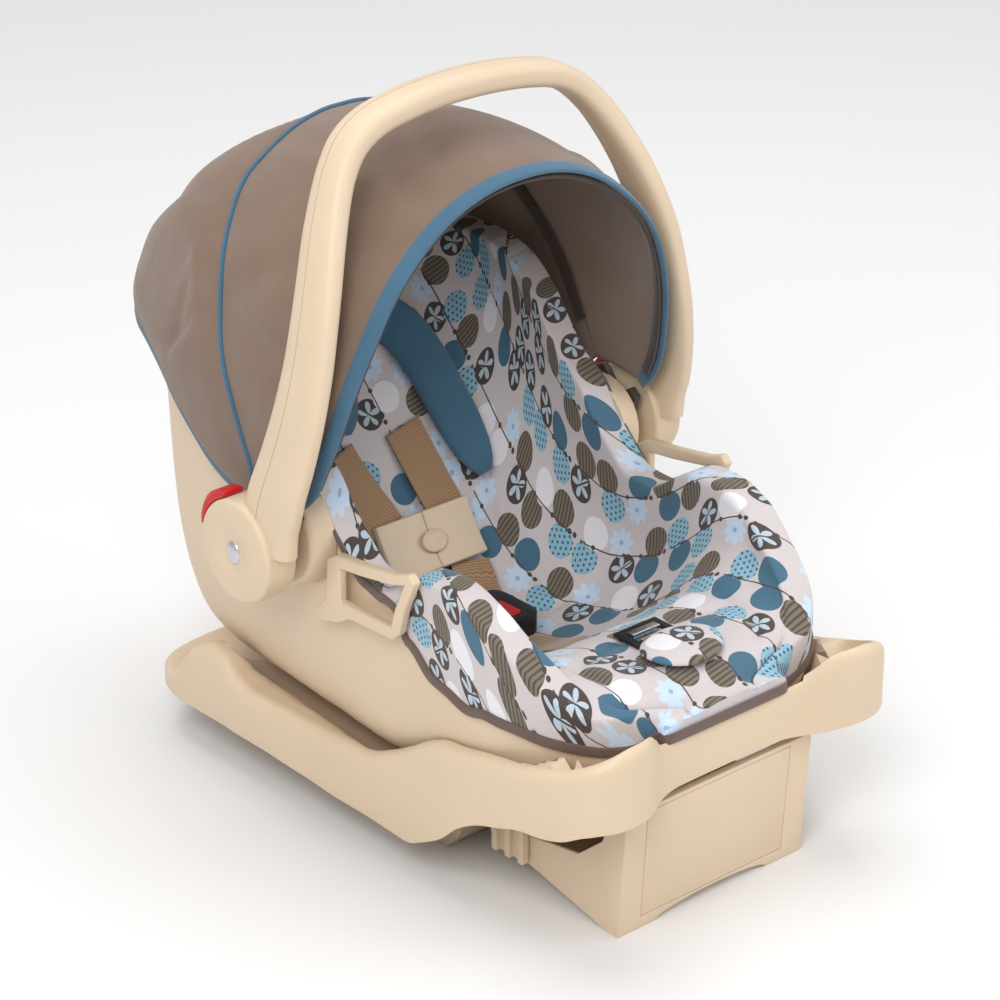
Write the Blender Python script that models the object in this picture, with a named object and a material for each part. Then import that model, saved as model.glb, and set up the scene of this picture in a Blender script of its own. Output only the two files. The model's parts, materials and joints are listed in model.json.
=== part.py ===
"""Infant car seat: a carrier with a swinging handle and a folding canopy, on its base.

Metres, +Z up.  X runs across the seat, the feet end is at -Y, the head end at +Y.
The origin is on the flat bottom of the base's pan, on the middle plane.
"""

import bpy
import bmesh
import math
from mathutils import Matrix, Vector

# ---------------------------------------------------------------- driving dimensions
GAP = 0.0003                 # between pieces that touch
WALL = 0.003                 # moulded walls of the base and the foot
SHELL_WALL = 0.004           # wall of the carrier's outer shell
TUB_WALL = 0.004             # wall of the inner tub
PAD_THICK = 0.012            # seat pad
SHELL_HALF_WIDTH = 0.151     # carrier at its widest
BASE_BESIDE_SHELL = 0.012    # base's wings beyond the carrier's sides
PAN_HALF_WIDTH = 0.108
CRADLE_GAP = 0.009           # base's cradle below the carrier's shell
FRONT_CRADLE_GAP = 0.010     # added where the shell turns up at the feet end

HUB_Y = 0.060
HUB_Z = 0.250
HUB_RADIUS = 0.042
HUB_LAYER = 0.0215           # thickness of the fixed housing under the canopy's eyes
EYE_LAYER = 0.006            # thickness of one canopy eye
EYE_RADIUS = 0.021
PIN_RADIUS = 0.008
PIN_CLEARANCE = 0.0004
HANDLE_REACH = 0.329         # hub to the middle of the grip
DRAWN_REACH = 0.329          # reach that the handle's path below was drawn for
DRAWN_HOOP = 0.305           # highest point of the canopy's hoops as drawn, from the hub
DRAWN_BASE = 0.163           # half width that the base's outline was drawn for
HANDLE_SIDE_GAP = 0.003      # canopy eyes to the handle's disc
DISC_THICK = 0.022
CAP_THICK = 0.009
ARM_DEPTH = 0.060
ARM_THICK = 0.020
GRIP_DEPTH = 0.034
GRIP_THICK = 0.022

BOW_WIDTH = 0.010
BOW_THICK = 0.003
CLOTH = 0.0016
BOW_GAP = 0.0035             # cloth to the flat bow inside it
CLOTH_SPLIT = 0.012          # cloth ends short of the middle bow, as a share of its section

STRAP_WIDTH = 0.038
STRAP_THICK = 0.0022
FOOT_HALF_WIDTH = 0.0985
PANEL_HALF_WIDTH = 0.0755
PANEL_THICK = 0.0025
LATCH_BAR_RADIUS = 0.004

BASE_HALF_WIDTH = SHELL_HALF_WIDTH + BASE_BESIDE_SHELL

# pieces stacked outward from the carrier's side
HOUSING_IN = SHELL_HALF_WIDTH + 0.0005
HOUSING_OUT = HOUSING_IN + HUB_LAYER
FRONT_EYE_IN = HOUSING_OUT + GAP
MID_EYE_IN = FRONT_EYE_IN + EYE_LAYER + GAP
DISC_IN = MID_EYE_IN + EYE_LAYER + HANDLE_SIDE_GAP
DISC_OUT = DISC_IN + DISC_THICK
CAP_OUT = DISC_OUT + GAP + CAP_THICK
ARM_CENTRE_X = DISC_IN + 0.5 * DISC_THICK + 0.003


# ---------------------------------------------------------------- helpers
def material(name, colour, roughness, metallic=0.0):
    found = bpy.data.materials.get(name)
    if found:
        return found
    made = bpy.data.materials.new(name)
    made.use_nodes = True
    shader = made.node_tree.nodes["Principled BSDF"]
    shader.inputs["Base Color"].default_value = (*colour, 1.0)
    shader.inputs["Roughness"].default_value = roughness
    shader.inputs["Metallic"].default_value = metallic
    made.diffuse_color = (*colour, 1.0)
    return made


def tan_plastic():
    return material("tan_plastic", (0.73, 0.58, 0.42), 0.42)


def grey_plastic():
    return material("grey_plastic", (0.30, 0.27, 0.24), 0.5)


def black_plastic():
    return material("black_plastic", (0.02, 0.02, 0.02), 0.4)


def red_plastic():
    return material("red_plastic", (0.62, 0.03, 0.03), 0.35)


def steel():
    return material("steel", (0.62, 0.62, 0.63), 0.3, 1.0)


def pad_fabric():
    return material("pad_fabric", (0.62, 0.56, 0.55), 0.9)


def canopy_fabric():
    return material("canopy_fabric", (0.22, 0.14, 0.10), 0.9)


def blue_fabric():
    return material("blue_fabric", (0.07, 0.16, 0.28), 0.9)


def webbing():
    return material("webbing", (0.38, 0.20, 0.09), 0.85)


def place(name, mesh, finish, smooth_angle=40):
    """Put a finished bmesh in the scene as one named object."""
    bmesh.ops.remove_doubles(mesh, verts=mesh.verts, dist=1e-6)
    bmesh.ops.dissolve_degenerate(mesh, edges=mesh.edges, dist=1e-6)
    bmesh.ops.recalc_face_normals(mesh, faces=mesh.faces)
    if mesh.calc_volume(signed=True) < 0:
        bmesh.ops.reverse_faces(mesh, faces=mesh.faces)
    data = bpy.data.meshes.new(name)
    mesh.to_mesh(data)
    mesh.free()
    data.shade_smooth()
    data.set_sharp_from_angle(angle=math.radians(smooth_angle))
    made = bpy.data.objects.new(name, data)
    data.materials.append(finish)
    bpy.context.scene.collection.objects.link(made)
    return made


def smooth_value(table, at):
    """Read a height or width from hand-set points, eased so that it never overshoots."""
    if at <= table[0][0]:
        return table[0][1]
    if at >= table[-1][0]:
        return table[-1][1]
    slopes = []
    for (x0, y0), (x1, y1) in zip(table, table[1:]):
        slopes.append((y1 - y0) / (x1 - x0))
    for index, ((x0, y0), (x1, y1)) in enumerate(zip(table, table[1:])):
        if at <= x1:
            break
    before = slopes[max(index - 1, 0)]
    here = slopes[index]
    after = slopes[min(index + 1, len(slopes) - 1)]
    start = 0.0 if before * here <= 0 else 2 * before * here / (before + here)
    end = 0.0 if here * after <= 0 else 2 * here * after / (here + after)
    span = x1 - x0
    t = (at - x0) / span
    return (
        (2 * t**3 - 3 * t**2 + 1) * y0
        + (t**3 - 2 * t**2 + t) * span * start
        + (3 * t**2 - 2 * t**3) * y1
        + (t**3 - t**2) * span * end
    )


def smooth_path(points, count):
    """A Catmull-Rom curve through hand-set points, read at even steps of its length."""
    points = [Vector(p) for p in points]
    ends = [2 * points[0] - points[1]] + points + [2 * points[-1] - points[-2]]
    fine = []
    for a, b, c, d in zip(ends, ends[1:], ends[2:], ends[3:]):
        for step in range(16):
            t = step / 16
            fine.append(
                0.5 * (2 * b + (c - a) * t + (2 * a - 5 * b + 4 * c - d) * t**2
                       + (3 * b - a - 3 * c + d) * t**3)
            )
    fine.append(points[-1])
    lengths = [0.0]
    for a, b in zip(fine, fine[1:]):
        lengths.append(lengths[-1] + (b - a).length)
    out = []
    index = 0
    for step in range(count):
        want = lengths[-1] * step / (count - 1)
        while index < len(fine) - 2 and lengths[index + 1] < want:
            index += 1
        part = (want - lengths[index]) / max(lengths[index + 1] - lengths[index], 1e-9)
        out.append(fine[index].lerp(fine[index + 1], min(max(part, 0.0), 1.0)))
    return out


def mirrored(half):
    """A left-to-right row from its right half, whose first point is on the middle."""
    left = [Vector((-p[0], p[1], p[2])) for p in reversed(half[1:])]
    return left + [Vector(p) for p in half]


def ring_loft(rings, capped=True, closed=False):
    """Join rings of equal length, each a closed loop, into one solid."""
    mesh = bmesh.new()
    rows = [[mesh.verts.new(p) for p in ring] for ring in rings]
    pairs = list(zip(rows, rows[1:]))
    if closed:
        pairs.append((rows[-1], rows[0]))
    for a, b in pairs:
        for i in range(len(a)):
            j = (i + 1) % len(a)
            mesh.faces.new((a[i], a[j], b[j], b[i]))
    if capped and not closed:
        mesh.faces.new(list(reversed(rows[0])))
        mesh.faces.new(rows[-1])
    mesh.normal_update()
    bmesh.ops.triangulate(mesh, faces=[f for f in mesh.faces if len(f.verts) > 4])
    return mesh


def sheet_solid(rows, thick):
    """A sheet given as rows of points, thickened by thick against its normals, closed."""
    count = len(rows[0])
    lower = []
    for r, row in enumerate(rows):
        lower_row = []
        for c in range(count):
            along = rows[min(r + 1, len(rows) - 1)][c] - rows[max(r - 1, 0)][c]
            across = row[min(c + 1, count - 1)] - row[max(c - 1, 0)]
            normal = across.cross(along)
            if normal.length < 1e-12:
                normal = Vector((0, 0, 1))
            lower_row.append(row[c] - normal.normalized() * thick)
        lower.append(lower_row)
    rings = []
    for top, bottom in zip(rows, lower):
        rings.append(list(top) + list(reversed(bottom)))
    mesh = bmesh.new()
    grid = [[mesh.verts.new(p) for p in ring] for ring in rings]
    for a, b in zip(grid, grid[1:]):
        for i in range(len(a)):
            j = (i + 1) % len(a)
            mesh.faces.new((a[i], a[j], b[j], b[i]))
    for ring, flip in ((grid[0], True), (grid[-1], False)):
        for i in range(count - 1):
            j = 2 * count - 1 - i
            quad = (ring[i], ring[i + 1], ring[j - 1], ring[j])
            mesh.faces.new(tuple(reversed(quad)) if flip else quad)
    return mesh


def prism(outline, axis, low, high):
    """Extrude a closed outline along X, Y or Z.  The outline gives the other two axes."""
    order = {"X": (1, 2, 0), "Y": (0, 2, 1), "Z": (0, 1, 2)}[axis]
    rings = []
    for level in (low, high):
        ring = []
        for a, b in outline:
            point = [0.0, 0.0, 0.0]
            point[order[0]] = a
            point[order[1]] = b
            point[order[2]] = level
            ring.append(point)
        rings.append(ring)
    return ring_loft(rings)


def box(low, high):
    outline = ((low[0], low[1]), (high[0], low[1]), (high[0], high[1]), (low[0], high[1]))
    return prism(outline, "Z", low[2], high[2])


def rounded(centre_a, centre_b, half_a, half_b, radius, steps=4):
    """A rectangle with round corners, as an outline."""
    outline = []
    for turn, (sa, sb) in enumerate(((1, 1), (-1, 1), (-1, -1), (1, -1))):
        for step in range(steps + 1):
            angle = math.radians(90 * turn + 90 * step / steps)
            outline.append((
                centre_a + sa * (half_a - radius) + radius * math.cos(angle),
                centre_b + sb * (half_b - radius) + radius * math.sin(angle),
            ))
    return outline


def turned_x(profile, y, z, steps=32, hole=0.0):
    """Turn (x, radius) points about a line along X, with an optional round hole."""
    rings = []
    for step in range(steps):
        angle = 2 * math.pi * step / steps
        ring = [(x, y + r * math.cos(angle), z + r * math.sin(angle)) for x, r in profile]
        if hole:
            ring.append((profile[-1][0], y + hole * math.cos(angle), z + hole * math.sin(angle)))
            ring.append((profile[0][0], y + hole * math.cos(angle), z + hole * math.sin(angle)))
        rings.append(ring)
    if hole:
        return ring_loft(rings, closed=True)
    turned = [[ring[i] for ring in rings] for i in range(len(profile))]
    return ring_loft(turned)


def cut(made, cutter_mesh, name, solver="EXACT"):
    """Take a closed shape away from an object."""
    bmesh.ops.recalc_face_normals(cutter_mesh, faces=cutter_mesh.faces)
    data = bpy.data.meshes.new(name)
    cutter_mesh.to_mesh(data)
    cutter_mesh.free()
    cutter = bpy.data.objects.new(name, data)
    cutter.hide_render = True
    cutter.display_type = "WIRE"
    bpy.context.scene.collection.objects.link(cutter)
    modifier = made.modifiers.new(name, "BOOLEAN")
    modifier.operation = "DIFFERENCE"
    modifier.solver = solver
    modifier.object = cutter


def strap(name, centres, widths_to, finish, width=STRAP_WIDTH, thick=STRAP_THICK):
    """A flat strap along centres.  widths_to gives its width direction at each end."""
    start, end = (Vector(v).normalized() for v in widths_to)
    rows = []
    for index, centre in enumerate(centres):
        side = start.lerp(end, index / (len(centres) - 1)).normalized()
        rows.append([centre - side * width / 2, centre, centre + side * width / 2])
    if (rows[0][2] - rows[0][0]).cross(rows[-1][1] - rows[0][1]).z > 0:
        rows.reverse()
    return place(name, sheet_solid(rows, thick), finish)


# ---------------------------------------------------------------- carrier surfaces
SHELL_STATIONS = (-0.246, -0.242, -0.234, -0.222, -0.206, -0.186, -0.166, -0.146, -0.118, -0.090,
                  -0.066, -0.044, -0.020, 0.004, 0.026, 0.048, 0.072, 0.100, 0.130, 0.160, 0.190,
                  0.216, 0.234, 0.246, 0.256, 0.262, 0.270, 0.284, 0.300, 0.312, 0.320)
SHELL_WIDTH = ((-0.246, 0.40), (-0.234, 0.70), (-0.206, 0.895), (-0.184, 0.945), (-0.149, 0.99),
               (-0.112, 1.0), (0.100, 1.0), (0.134, 0.99), (0.176, 0.965), (0.230, 0.91),
               (0.262, 0.85), (0.280, 0.77), (0.300, 0.64), (0.312, 0.50), (0.320, 0.32))
SHELL_RIM = ((-0.246, 0.158), (-0.234, 0.170), (-0.222, 0.182), (-0.205, 0.198),
             (-0.184, 0.216), (-0.166, 0.230), (-0.149, 0.244), (-0.112, 0.257), (-0.086, 0.256),
             (-0.065, 0.245), (-0.039, 0.227), (-0.013, 0.230), (0.008, 0.247), (0.025, 0.264),
             (0.044, 0.290), (0.070, 0.311), (0.102, 0.352), (0.134, 0.378), (0.176, 0.388), (0.230, 0.390), (0.320, 0.392))
SHELL_KEEL = ((-0.246, 0.149), (-0.234, 0.134), (-0.222, 0.122), (-0.205, 0.102), (-0.184, 0.088),
              (-0.149, 0.076), (-0.112, 0.070), (0.190, 0.067), (0.229, 0.072), (0.246, 0.088),
              (0.256, 0.112), (0.261, 0.174), (0.265, 0.216), (0.286, 0.231), (0.304, 0.268),
              (0.314, 0.352), (0.320, 0.378))
SHELL_ROUND = 5.4            # how square the carrier's section is
SEAT_FLOOR = ((-0.250, 0.176), (-0.235, 0.189), (-0.205, 0.194), (-0.165, 0.192), (-0.125, 0.180),
              (-0.085, 0.148), (-0.045, 0.130), (0.000, 0.124), (0.030, 0.131), (0.060, 0.150),
              (0.080, 0.176), (0.100, 0.212), (0.120, 0.254), (0.140, 0.298), (0.160, 0.340),
              (0.180, 0.376), (0.198, 0.397), (0.225, 0.404), (0.300, 0.401), (0.322, 0.398))
PAD_RISE = 0.005             # pad above the shell's rim
PAD_ON_RIM = -0.215          # nearer the feet end the pad lies on the rim, not inside it
LIP_BOTTOM = 0.162           # underside of the pad's roll in front of the shell


def shell_half_width(y):
    return SHELL_HALF_WIDTH * smooth_value(SHELL_WIDTH, y)


def shell_rim(y):
    return smooth_value(SHELL_RIM, y)


def shell_keel(y):
    return smooth_value(SHELL_KEEL, y)


def section_height(share, keel, rim, squareness):
    """Height of a rounded trough at a share of its half width."""
    share = min(abs(share), 1.0)
    return keel + (rim - keel) * (1 - (1 - share**squareness) ** (1 / squareness))


def seat_underside(x, y):
    """Height of the carrier's outside over a point of the plan, or its rim beyond it."""
    y = min(max(y, SHELL_STATIONS[0]), SHELL_STATIONS[-1])
    return section_height(x / shell_half_width(y), shell_keel(y), shell_rim(y), SHELL_ROUND)


def trough(y, half_width, keel, rim, squareness, count):
    """Half of a trough's section, from its middle out to its rim, evenly spread."""
    half = []
    for step in range(count + 1):
        angle = math.pi / 2 * step / count
        x = half_width * math.sin(angle) ** (2 / squareness)
        z = keel + (rim - keel) * (1 - math.cos(angle) ** (2 / squareness))
        half.append(Vector((x, y, z)))
    return half


def floor_height(y, spread=0.0, drop=0.0):
    """The pad's middle line, lowered so that a layer under it keeps its thickness."""
    lowest = min(smooth_value(SEAT_FLOOR, y + spread * k / 4) for k in range(-4, 5))
    return lowest - drop


def build_carrier_shell():
    rows = []
    for y in SHELL_STATIONS:
        half = trough(y, shell_half_width(y), shell_keel(y), shell_rim(y), SHELL_ROUND, 9)
        rows.append(mirrored(half))
    mesh = bmesh.new()
    grid = [[mesh.verts.new(p) for p in row] for row in rows]
    for a, b in zip(grid, grid[1:]):
        for i in range(len(a) - 1):
            mesh.faces.new((a[i], b[i], b[i + 1], a[i + 1]))
    mesh.faces.new(grid[0])
    mesh.faces.new(list(reversed(grid[-1])))
    mesh.normal_update()
    bmesh.ops.triangulate(mesh, faces=[f for f in mesh.faces if len(f.verts) > 4])
    bmesh.ops.recalc_face_normals(mesh, faces=mesh.faces)
    if sum(f.normal.z * f.calc_area() for f in mesh.faces) > 0:
        bmesh.ops.reverse_faces(mesh, faces=mesh.faces)
    data = bpy.data.meshes.new("carrier_shell")
    mesh.to_mesh(data)
    mesh.free()
    data.shade_smooth()
    data.set_sharp_from_angle(angle=math.radians(50))
    made = bpy.data.objects.new("carrier_shell", data)
    data.materials.append(tan_plastic())
    bpy.context.scene.collection.objects.link(made)
    wall = made.modifiers.new("wall", "SOLIDIFY")
    wall.thickness = SHELL_WALL
    wall.offset = -1
    wall.use_even_offset = False
    return made


TUB_STATIONS = tuple(y for y in SHELL_STATIONS if -0.210 < y < 0.195)
PAD_SIDE = 0.016             # thickness of the pad on the side walls
TUB_SIDE = SHELL_WALL + 0.0025


TUB_BELOW_RIM = 0.006
PAD_BELOW_RIM = 0.004


def tub_rim(y):
    return shell_rim(y) - TUB_BELOW_RIM


def build_seat_tub():
    """The moulded liner that the pad lies on, hung inside the outer shell."""
    rings = []
    for y in TUB_STATIONS:
        half_out = shell_half_width(y) - TUB_SIDE
        top = trough(y, half_out - TUB_WALL, floor_height(y, 0.012, PAD_THICK + 0.002),
                     tub_rim(y), 3.2, 6)
        low = trough(y, half_out, floor_height(y, 0.017, PAD_THICK + 0.003 + TUB_WALL),
                     tub_rim(y), 3.2, 6)
        rings.append(mirrored(low) + list(reversed(mirrored(top))))
    return place("seat_tub", ring_loft(rings), material("foam", (0.80, 0.79, 0.76), 0.8))


PAD_HANG = ((-0.068, 1.0), (-0.044, 0.0))   # 1 where the cover hangs down outside the shell
PAD_WRAP = ((-0.044, 1.0), (-0.020, 0.0))   # 1 where the cover reaches past the rim
PAD_FRONT = (-0.2565, -0.2545, -0.2500)
PAD_STATIONS = PAD_FRONT + tuple(y for y in SHELL_STATIONS if y < 0.263)
PAD_SKIRT = ((-0.256, 0.004), (-0.245, 0.006), (-0.222, 0.018), (-0.205, 0.030),
             (-0.165, 0.058), (-0.130, 0.080), (-0.100, 0.075), (-0.070, 0.045),
             (-0.050, 0.020), (-0.020, 0.008), (0.30, 0.006))


def pad_inside_width(y):
    return max(shell_half_width(max(y, SHELL_STATIONS[0])) - TUB_SIDE - TUB_WALL - PAD_SIDE, 0.02)


def pad_top(x, y):
    """Height of the seat's surface, where the straps lie."""
    half = pad_inside_width(y)
    return section_height(x / half, floor_height(y), shell_rim(y) + PAD_RISE, 3.0)


def build_seat_pad():
    """The padded cover: it fills the tub, turns over the rim and hangs outside the front."""
    rings = []
    for y in PAD_STATIONS:
        on_shell = min(max(y, SHELL_STATIONS[0]), SHELL_STATIONS[-1])
        outside = shell_half_width(on_shell)
        rim = shell_rim(on_shell)
        skirt = smooth_value(PAD_SKIRT, y)
        wrap = smooth_value(PAD_WRAP, y)
        down = smooth_value(PAD_HANG, y)
        over = 0.0015 + smooth_value(((-0.246, 0.008), (-0.200, 0.004), (-0.150, 0.0)), y)
        over += 0.002 * (1 - down)
        inside = pad_inside_width(y)
        rise = max(PAD_RISE, over + 0.004)
        top = trough(y, inside, floor_height(y), rim + rise - 0.002, 3.0, 6)
        crest = max(rim + rise, floor_height(y) - 0.004)
        top.append(Vector((inside + 0.004, y, crest)))
        top.append(Vector((outside - 0.001, y, crest)))
        if y >= SHELL_STATIONS[0]:
            hang = skirt * down - 0.0008 * (1 - down)
            levels = (rim + over + 0.002, rim + over - (over + hang) * 0.5, rim - hang)
        else:
            levels = (rim + 0.008, LIP_BOTTOM + 0.003, LIP_BOTTOM)
        for level, out in zip(levels, (0.0045, 0.0050, 0.0035)):
            top.append(Vector((outside - 0.0006 + out * wrap, y, level)))
        low = []
        if y >= SHELL_STATIONS[0]:
            seat = outside - TUB_SIDE - TUB_WALL - 0.001
            edge = rim + over if y < PAD_ON_RIM else rim - PAD_BELOW_RIM
            under = trough(y, seat, floor_height(y, 0.010, PAD_THICK), edge, 3.2, 6)
            low.extend(under)
            low.append(Vector((seat, y, rim + over)))
            beside = outside - 0.0015 + 0.0030 * wrap
            for part in (0.0, 0.35, 0.70, 1.0):
                low.append(Vector((beside, y, rim + over - (over + hang) * part)))
        else:
            for step in range(len(top)):
                share = step / (len(top) - 1)
                low.append(Vector(((outside + 0.001) * share, y, LIP_BOTTOM - 0.002)))
        rings.append(mirrored(top) + list(reversed(mirrored(low))))
    return place("seat_pad", ring_loft(rings), pad_fabric(), 60)


# ---------------------------------------------------------------- base
# plan x, plan y, top edge, bottom edge, from the middle of the front round to the middle
# of the rear
BASE_OUTLINE = (
    (0.000, -0.257, 0.158, 0.118), (0.030, -0.257, 0.158, 0.118), (0.056, -0.258, 0.158, 0.118),
    (0.075, -0.264, 0.163, 0.118), (0.090, -0.274, 0.174, 0.120), (0.106, -0.282, 0.185, 0.122),
    (0.126, -0.285, 0.186, 0.123), (0.145, -0.280, 0.181, 0.123), (0.157, -0.268, 0.174, 0.120),
    (0.162, -0.250, 0.166, 0.111), (0.163, -0.225, 0.158, 0.104), (0.163, -0.205, 0.152, 0.101),
    (0.162, -0.180, 0.147, 0.092), (0.161, -0.155, 0.142, 0.083), (0.161, -0.132, 0.137, 0.070),
    (0.160, -0.112, 0.134, 0.052), (0.160, -0.092, 0.126, 0.040), (0.160, -0.070, 0.112, 0.031),
    (0.160, -0.045, 0.098, 0.032), (0.160, -0.018, 0.087, 0.033), (0.160, 0.015, 0.085, 0.033),
    (0.160, 0.050, 0.083, 0.035), (0.160, 0.085, 0.082, 0.036), (0.160, 0.109, 0.081, 0.037),
    (0.160, 0.128, 0.081, 0.037), (0.160, 0.145, 0.086, 0.037), (0.160, 0.162, 0.100, 0.038),
    (0.160, 0.182, 0.104, 0.038), (0.160, 0.200, 0.096, 0.038), (0.160, 0.217, 0.078, 0.038),
    (0.157, 0.236, 0.058, 0.038), (0.148, 0.256, 0.057, 0.038), (0.130, 0.268, 0.057, 0.038),
    (0.100, 0.274, 0.057, 0.038), (0.060, 0.276, 0.057, 0.038), (0.030, 0.276, 0.057, 0.038),
    (0.000, 0.276, 0.057, 0.038),
)
BASE_SPINE = 0.150           # strips of the base run in to a middle line this long each way
BASE_INSETS = (
    # share of the height left at the top, inset
    (0.40, 0.0010), (0.12, 0.0030), (0.03, 0.0060), (0.00, 0.0100),
)


CRADLE_LEAN = 0.93           # the cradle follows the carrier a little further in, to clear its turn
FRONT_SHARE = ((-0.185, 1.0), (-0.150, 0.0))   # how much of the front's extra gap there is


def base_row(x, y, top, bottom):
    """One strip of the base: up the skirt, over the rim and down the cradle."""
    across = BASE_HALF_WIDTH / DRAWN_BASE
    x *= across
    middle = min(max(y, -BASE_SPINE), BASE_SPINE)
    inward = Vector((-x, middle - y, 0.0))
    reach = inward.length
    inward.normalize()
    front = y < -0.250
    height = top - bottom
    strip = [Vector((x, y, bottom))]
    for share, inset in BASE_INSETS:
        inset *= 0.5 if front and x < 0.08 else 1.0
        strip.append(Vector((x, y, top - share * height)) + inward * inset)
    rim_inset = BASE_INSETS[-1][1] * (0.5 if front and x < 0.08 else 1.0)
    for share in (0.08, 0.18, 0.32, 0.55, 1.0):
        spot = Vector((x, y, 0.0)) + inward * (rim_inset + (reach - rim_inset) * share)
        gap = CRADLE_GAP + FRONT_CRADLE_GAP * smooth_value(FRONT_SHARE, spot.y)
        deck = min(top - 0.001, seat_underside(spot.x * CRADLE_LEAN, spot.y) - gap)
        strip.append(Vector((spot.x if share < 1 else 0.0, spot.y, deck)))
    return strip


def build_base_shell():
    strips = [base_row(*station) for station in BASE_OUTLINE]
    across = len(strips[0])
    around = list(strips)
    for strip in reversed(strips[1:-1]):
        around.append([Vector((-p.x, p.y, p.z)) for p in strip])
    mesh = bmesh.new()
    grid = [[mesh.verts.new(p) for p in strip] for strip in around]
    for k in range(len(grid)):
        a = grid[k]
        b = grid[(k + 1) % len(grid)]
        for i in range(across - 1):
            mesh.faces.new((a[i], a[i + 1], b[i + 1], b[i]))
    bmesh.ops.remove_doubles(mesh, verts=mesh.verts, dist=1e-5)
    bmesh.ops.dissolve_degenerate(mesh, edges=mesh.edges, dist=1e-6)
    bmesh.ops.recalc_face_normals(mesh, faces=mesh.faces)
    if sum(f.normal.z * f.calc_area() for f in mesh.faces) < 0:
        bmesh.ops.reverse_faces(mesh, faces=mesh.faces)
    data = bpy.data.meshes.new("base_shell")
    mesh.to_mesh(data)
    mesh.free()
    data.shade_smooth()
    data.set_sharp_from_angle(angle=math.radians(50))
    made = bpy.data.objects.new("base_shell", data)
    data.materials.append(tan_plastic())
    bpy.context.scene.collection.objects.link(made)
    wall = made.modifiers.new("wall", "SOLIDIFY")
    wall.thickness = WALL
    wall.offset = -1
    wall.use_even_offset = False
    return made


def build_foot():
    """The leg that slides down at the feet end to level the base, its cover panel and rails."""
    side = ((-0.252, 0.108), (-0.245, 0.0), (-0.232, 0.0), (-0.100, 0.030), (-0.100, 0.046),
            (-0.150, 0.046), (-0.200, 0.054), (-0.226, 0.076), (-0.238, 0.108))
    foot = place("foot_box", prism(side, "X", -FOOT_HALF_WIDTH, FOOT_HALF_WIDTH),
                 tan_plastic(), 30)
    inside = ((-0.252 + 0.0062, 0.120), (-0.245 + 0.0052, 0.008), (-0.232, 0.006),
              (-0.103, 0.0345), (-0.103, 0.120))
    half = FOOT_HALF_WIDTH - WALL
    cut(foot, prism(inside, "X", -half, half), "foot_inside")
    recess = ((-0.256, 0.104), (-0.2485, 0.010), (-0.2425, 0.010), (-0.2487, 0.104))
    wide = PANEL_HALF_WIDTH + GAP
    cut(foot, prism(recess, "X", -wide, wide), "foot_recess")
    arch = [(-0.060, -0.010), (0.060, -0.010)]
    for step in range(9):
        angle = math.pi * step / 8
        arch.append((0.060 * math.cos(angle), 0.008 * math.sin(angle)))
    cut(foot, prism(arch, "Y", -0.260, -0.236), "foot_arch")
    face = ((-0.2516, 0.1036), (-0.2456, 0.0104), (-0.2456 + PANEL_THICK, 0.0104),
            (-0.2516 + PANEL_THICK, 0.1036))
    place("foot_panel", prism(face, "X", -PANEL_HALF_WIDTH, PANEL_HALF_WIDTH), tan_plastic(), 30)
    for side_name, sign in (("left", -1), ("right", 1)):
        inner = FOOT_HALF_WIDTH + 0.0010
        rail = [(inner, -0.146), (inner + 0.007, -0.146), (inner + 0.007, -0.140),
                (inner + 0.003, -0.140), (inner + 0.003, -0.131), (inner + 0.007, -0.131),
                (inner + 0.007, -0.125), (inner + 0.003, -0.125), (inner + 0.003, -0.116),
                (inner + 0.007, -0.116), (inner + 0.007, -0.110), (inner, -0.110)]
        outline = [(sign * x, y) for x, y in rail]
        top = seat_underside(FOOT_HALF_WIDTH + 0.009, -0.110) - CRADLE_GAP - WALL - 0.010
        place("foot_rail_" + side_name, prism(outline, "Z", 0.022, top), grey_plastic(), 30)
        x0 = sign * (FOOT_HALF_WIDTH - WALL - 0.0005)
        x1 = sign * (FOOT_HALF_WIDTH - WALL - 0.0125)
        place("foot_latch_" + side_name,
              box((min(x0, x1), -0.134, 0.0345), (max(x0, x1), -0.122, 0.0425)),
              grey_plastic(), 30)
        spring_out = sign * (FOOT_HALF_WIDTH - WALL - 0.0130)
        spring_in = sign * (FOOT_HALF_WIDTH - WALL - 0.0330)
        place("foot_spring_" + side_name,
              turned_x(((min(spring_out, spring_in), 0.003), (max(spring_out, spring_in), 0.003)),
                       -0.128, 0.0385, 12), steel())


def build_pan():
    """The flat pan that closes the base from below and stands on the floor."""
    outer = ((-0.080, 0.034), (-0.072, 0.014), (-0.058, 0.0), (0.196, 0.0), (0.212, 0.012),
             (0.218, 0.034), (0.218, 0.0530), (-0.080, 0.0530))
    pan = place("base_pan", prism(outer, "X", -PAN_HALF_WIDTH, PAN_HALF_WIDTH), grey_plastic(), 30)
    inner = ((-0.077, 0.035), (-0.0695, 0.016), (-0.0565, 0.003), (0.1945, 0.003),
             (0.2095, 0.014), (0.215, 0.035), (0.215, 0.070), (-0.077, 0.070))
    half = PAN_HALF_WIDTH - WALL
    cut(pan, prism(inner, "X", -half, half), "pan_inside")


# ---------------------------------------------------------------- carrier side fittings
def hub_point(radius, tilt, x):
    """A point at a radius from the hub, tilt degrees forward of straight up."""
    angle = math.radians(tilt)
    return Vector((x, HUB_Y - radius * math.sin(angle), HUB_Z + radius * math.cos(angle)))


SIDES = (("left", -1), ("right", 1))


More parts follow.
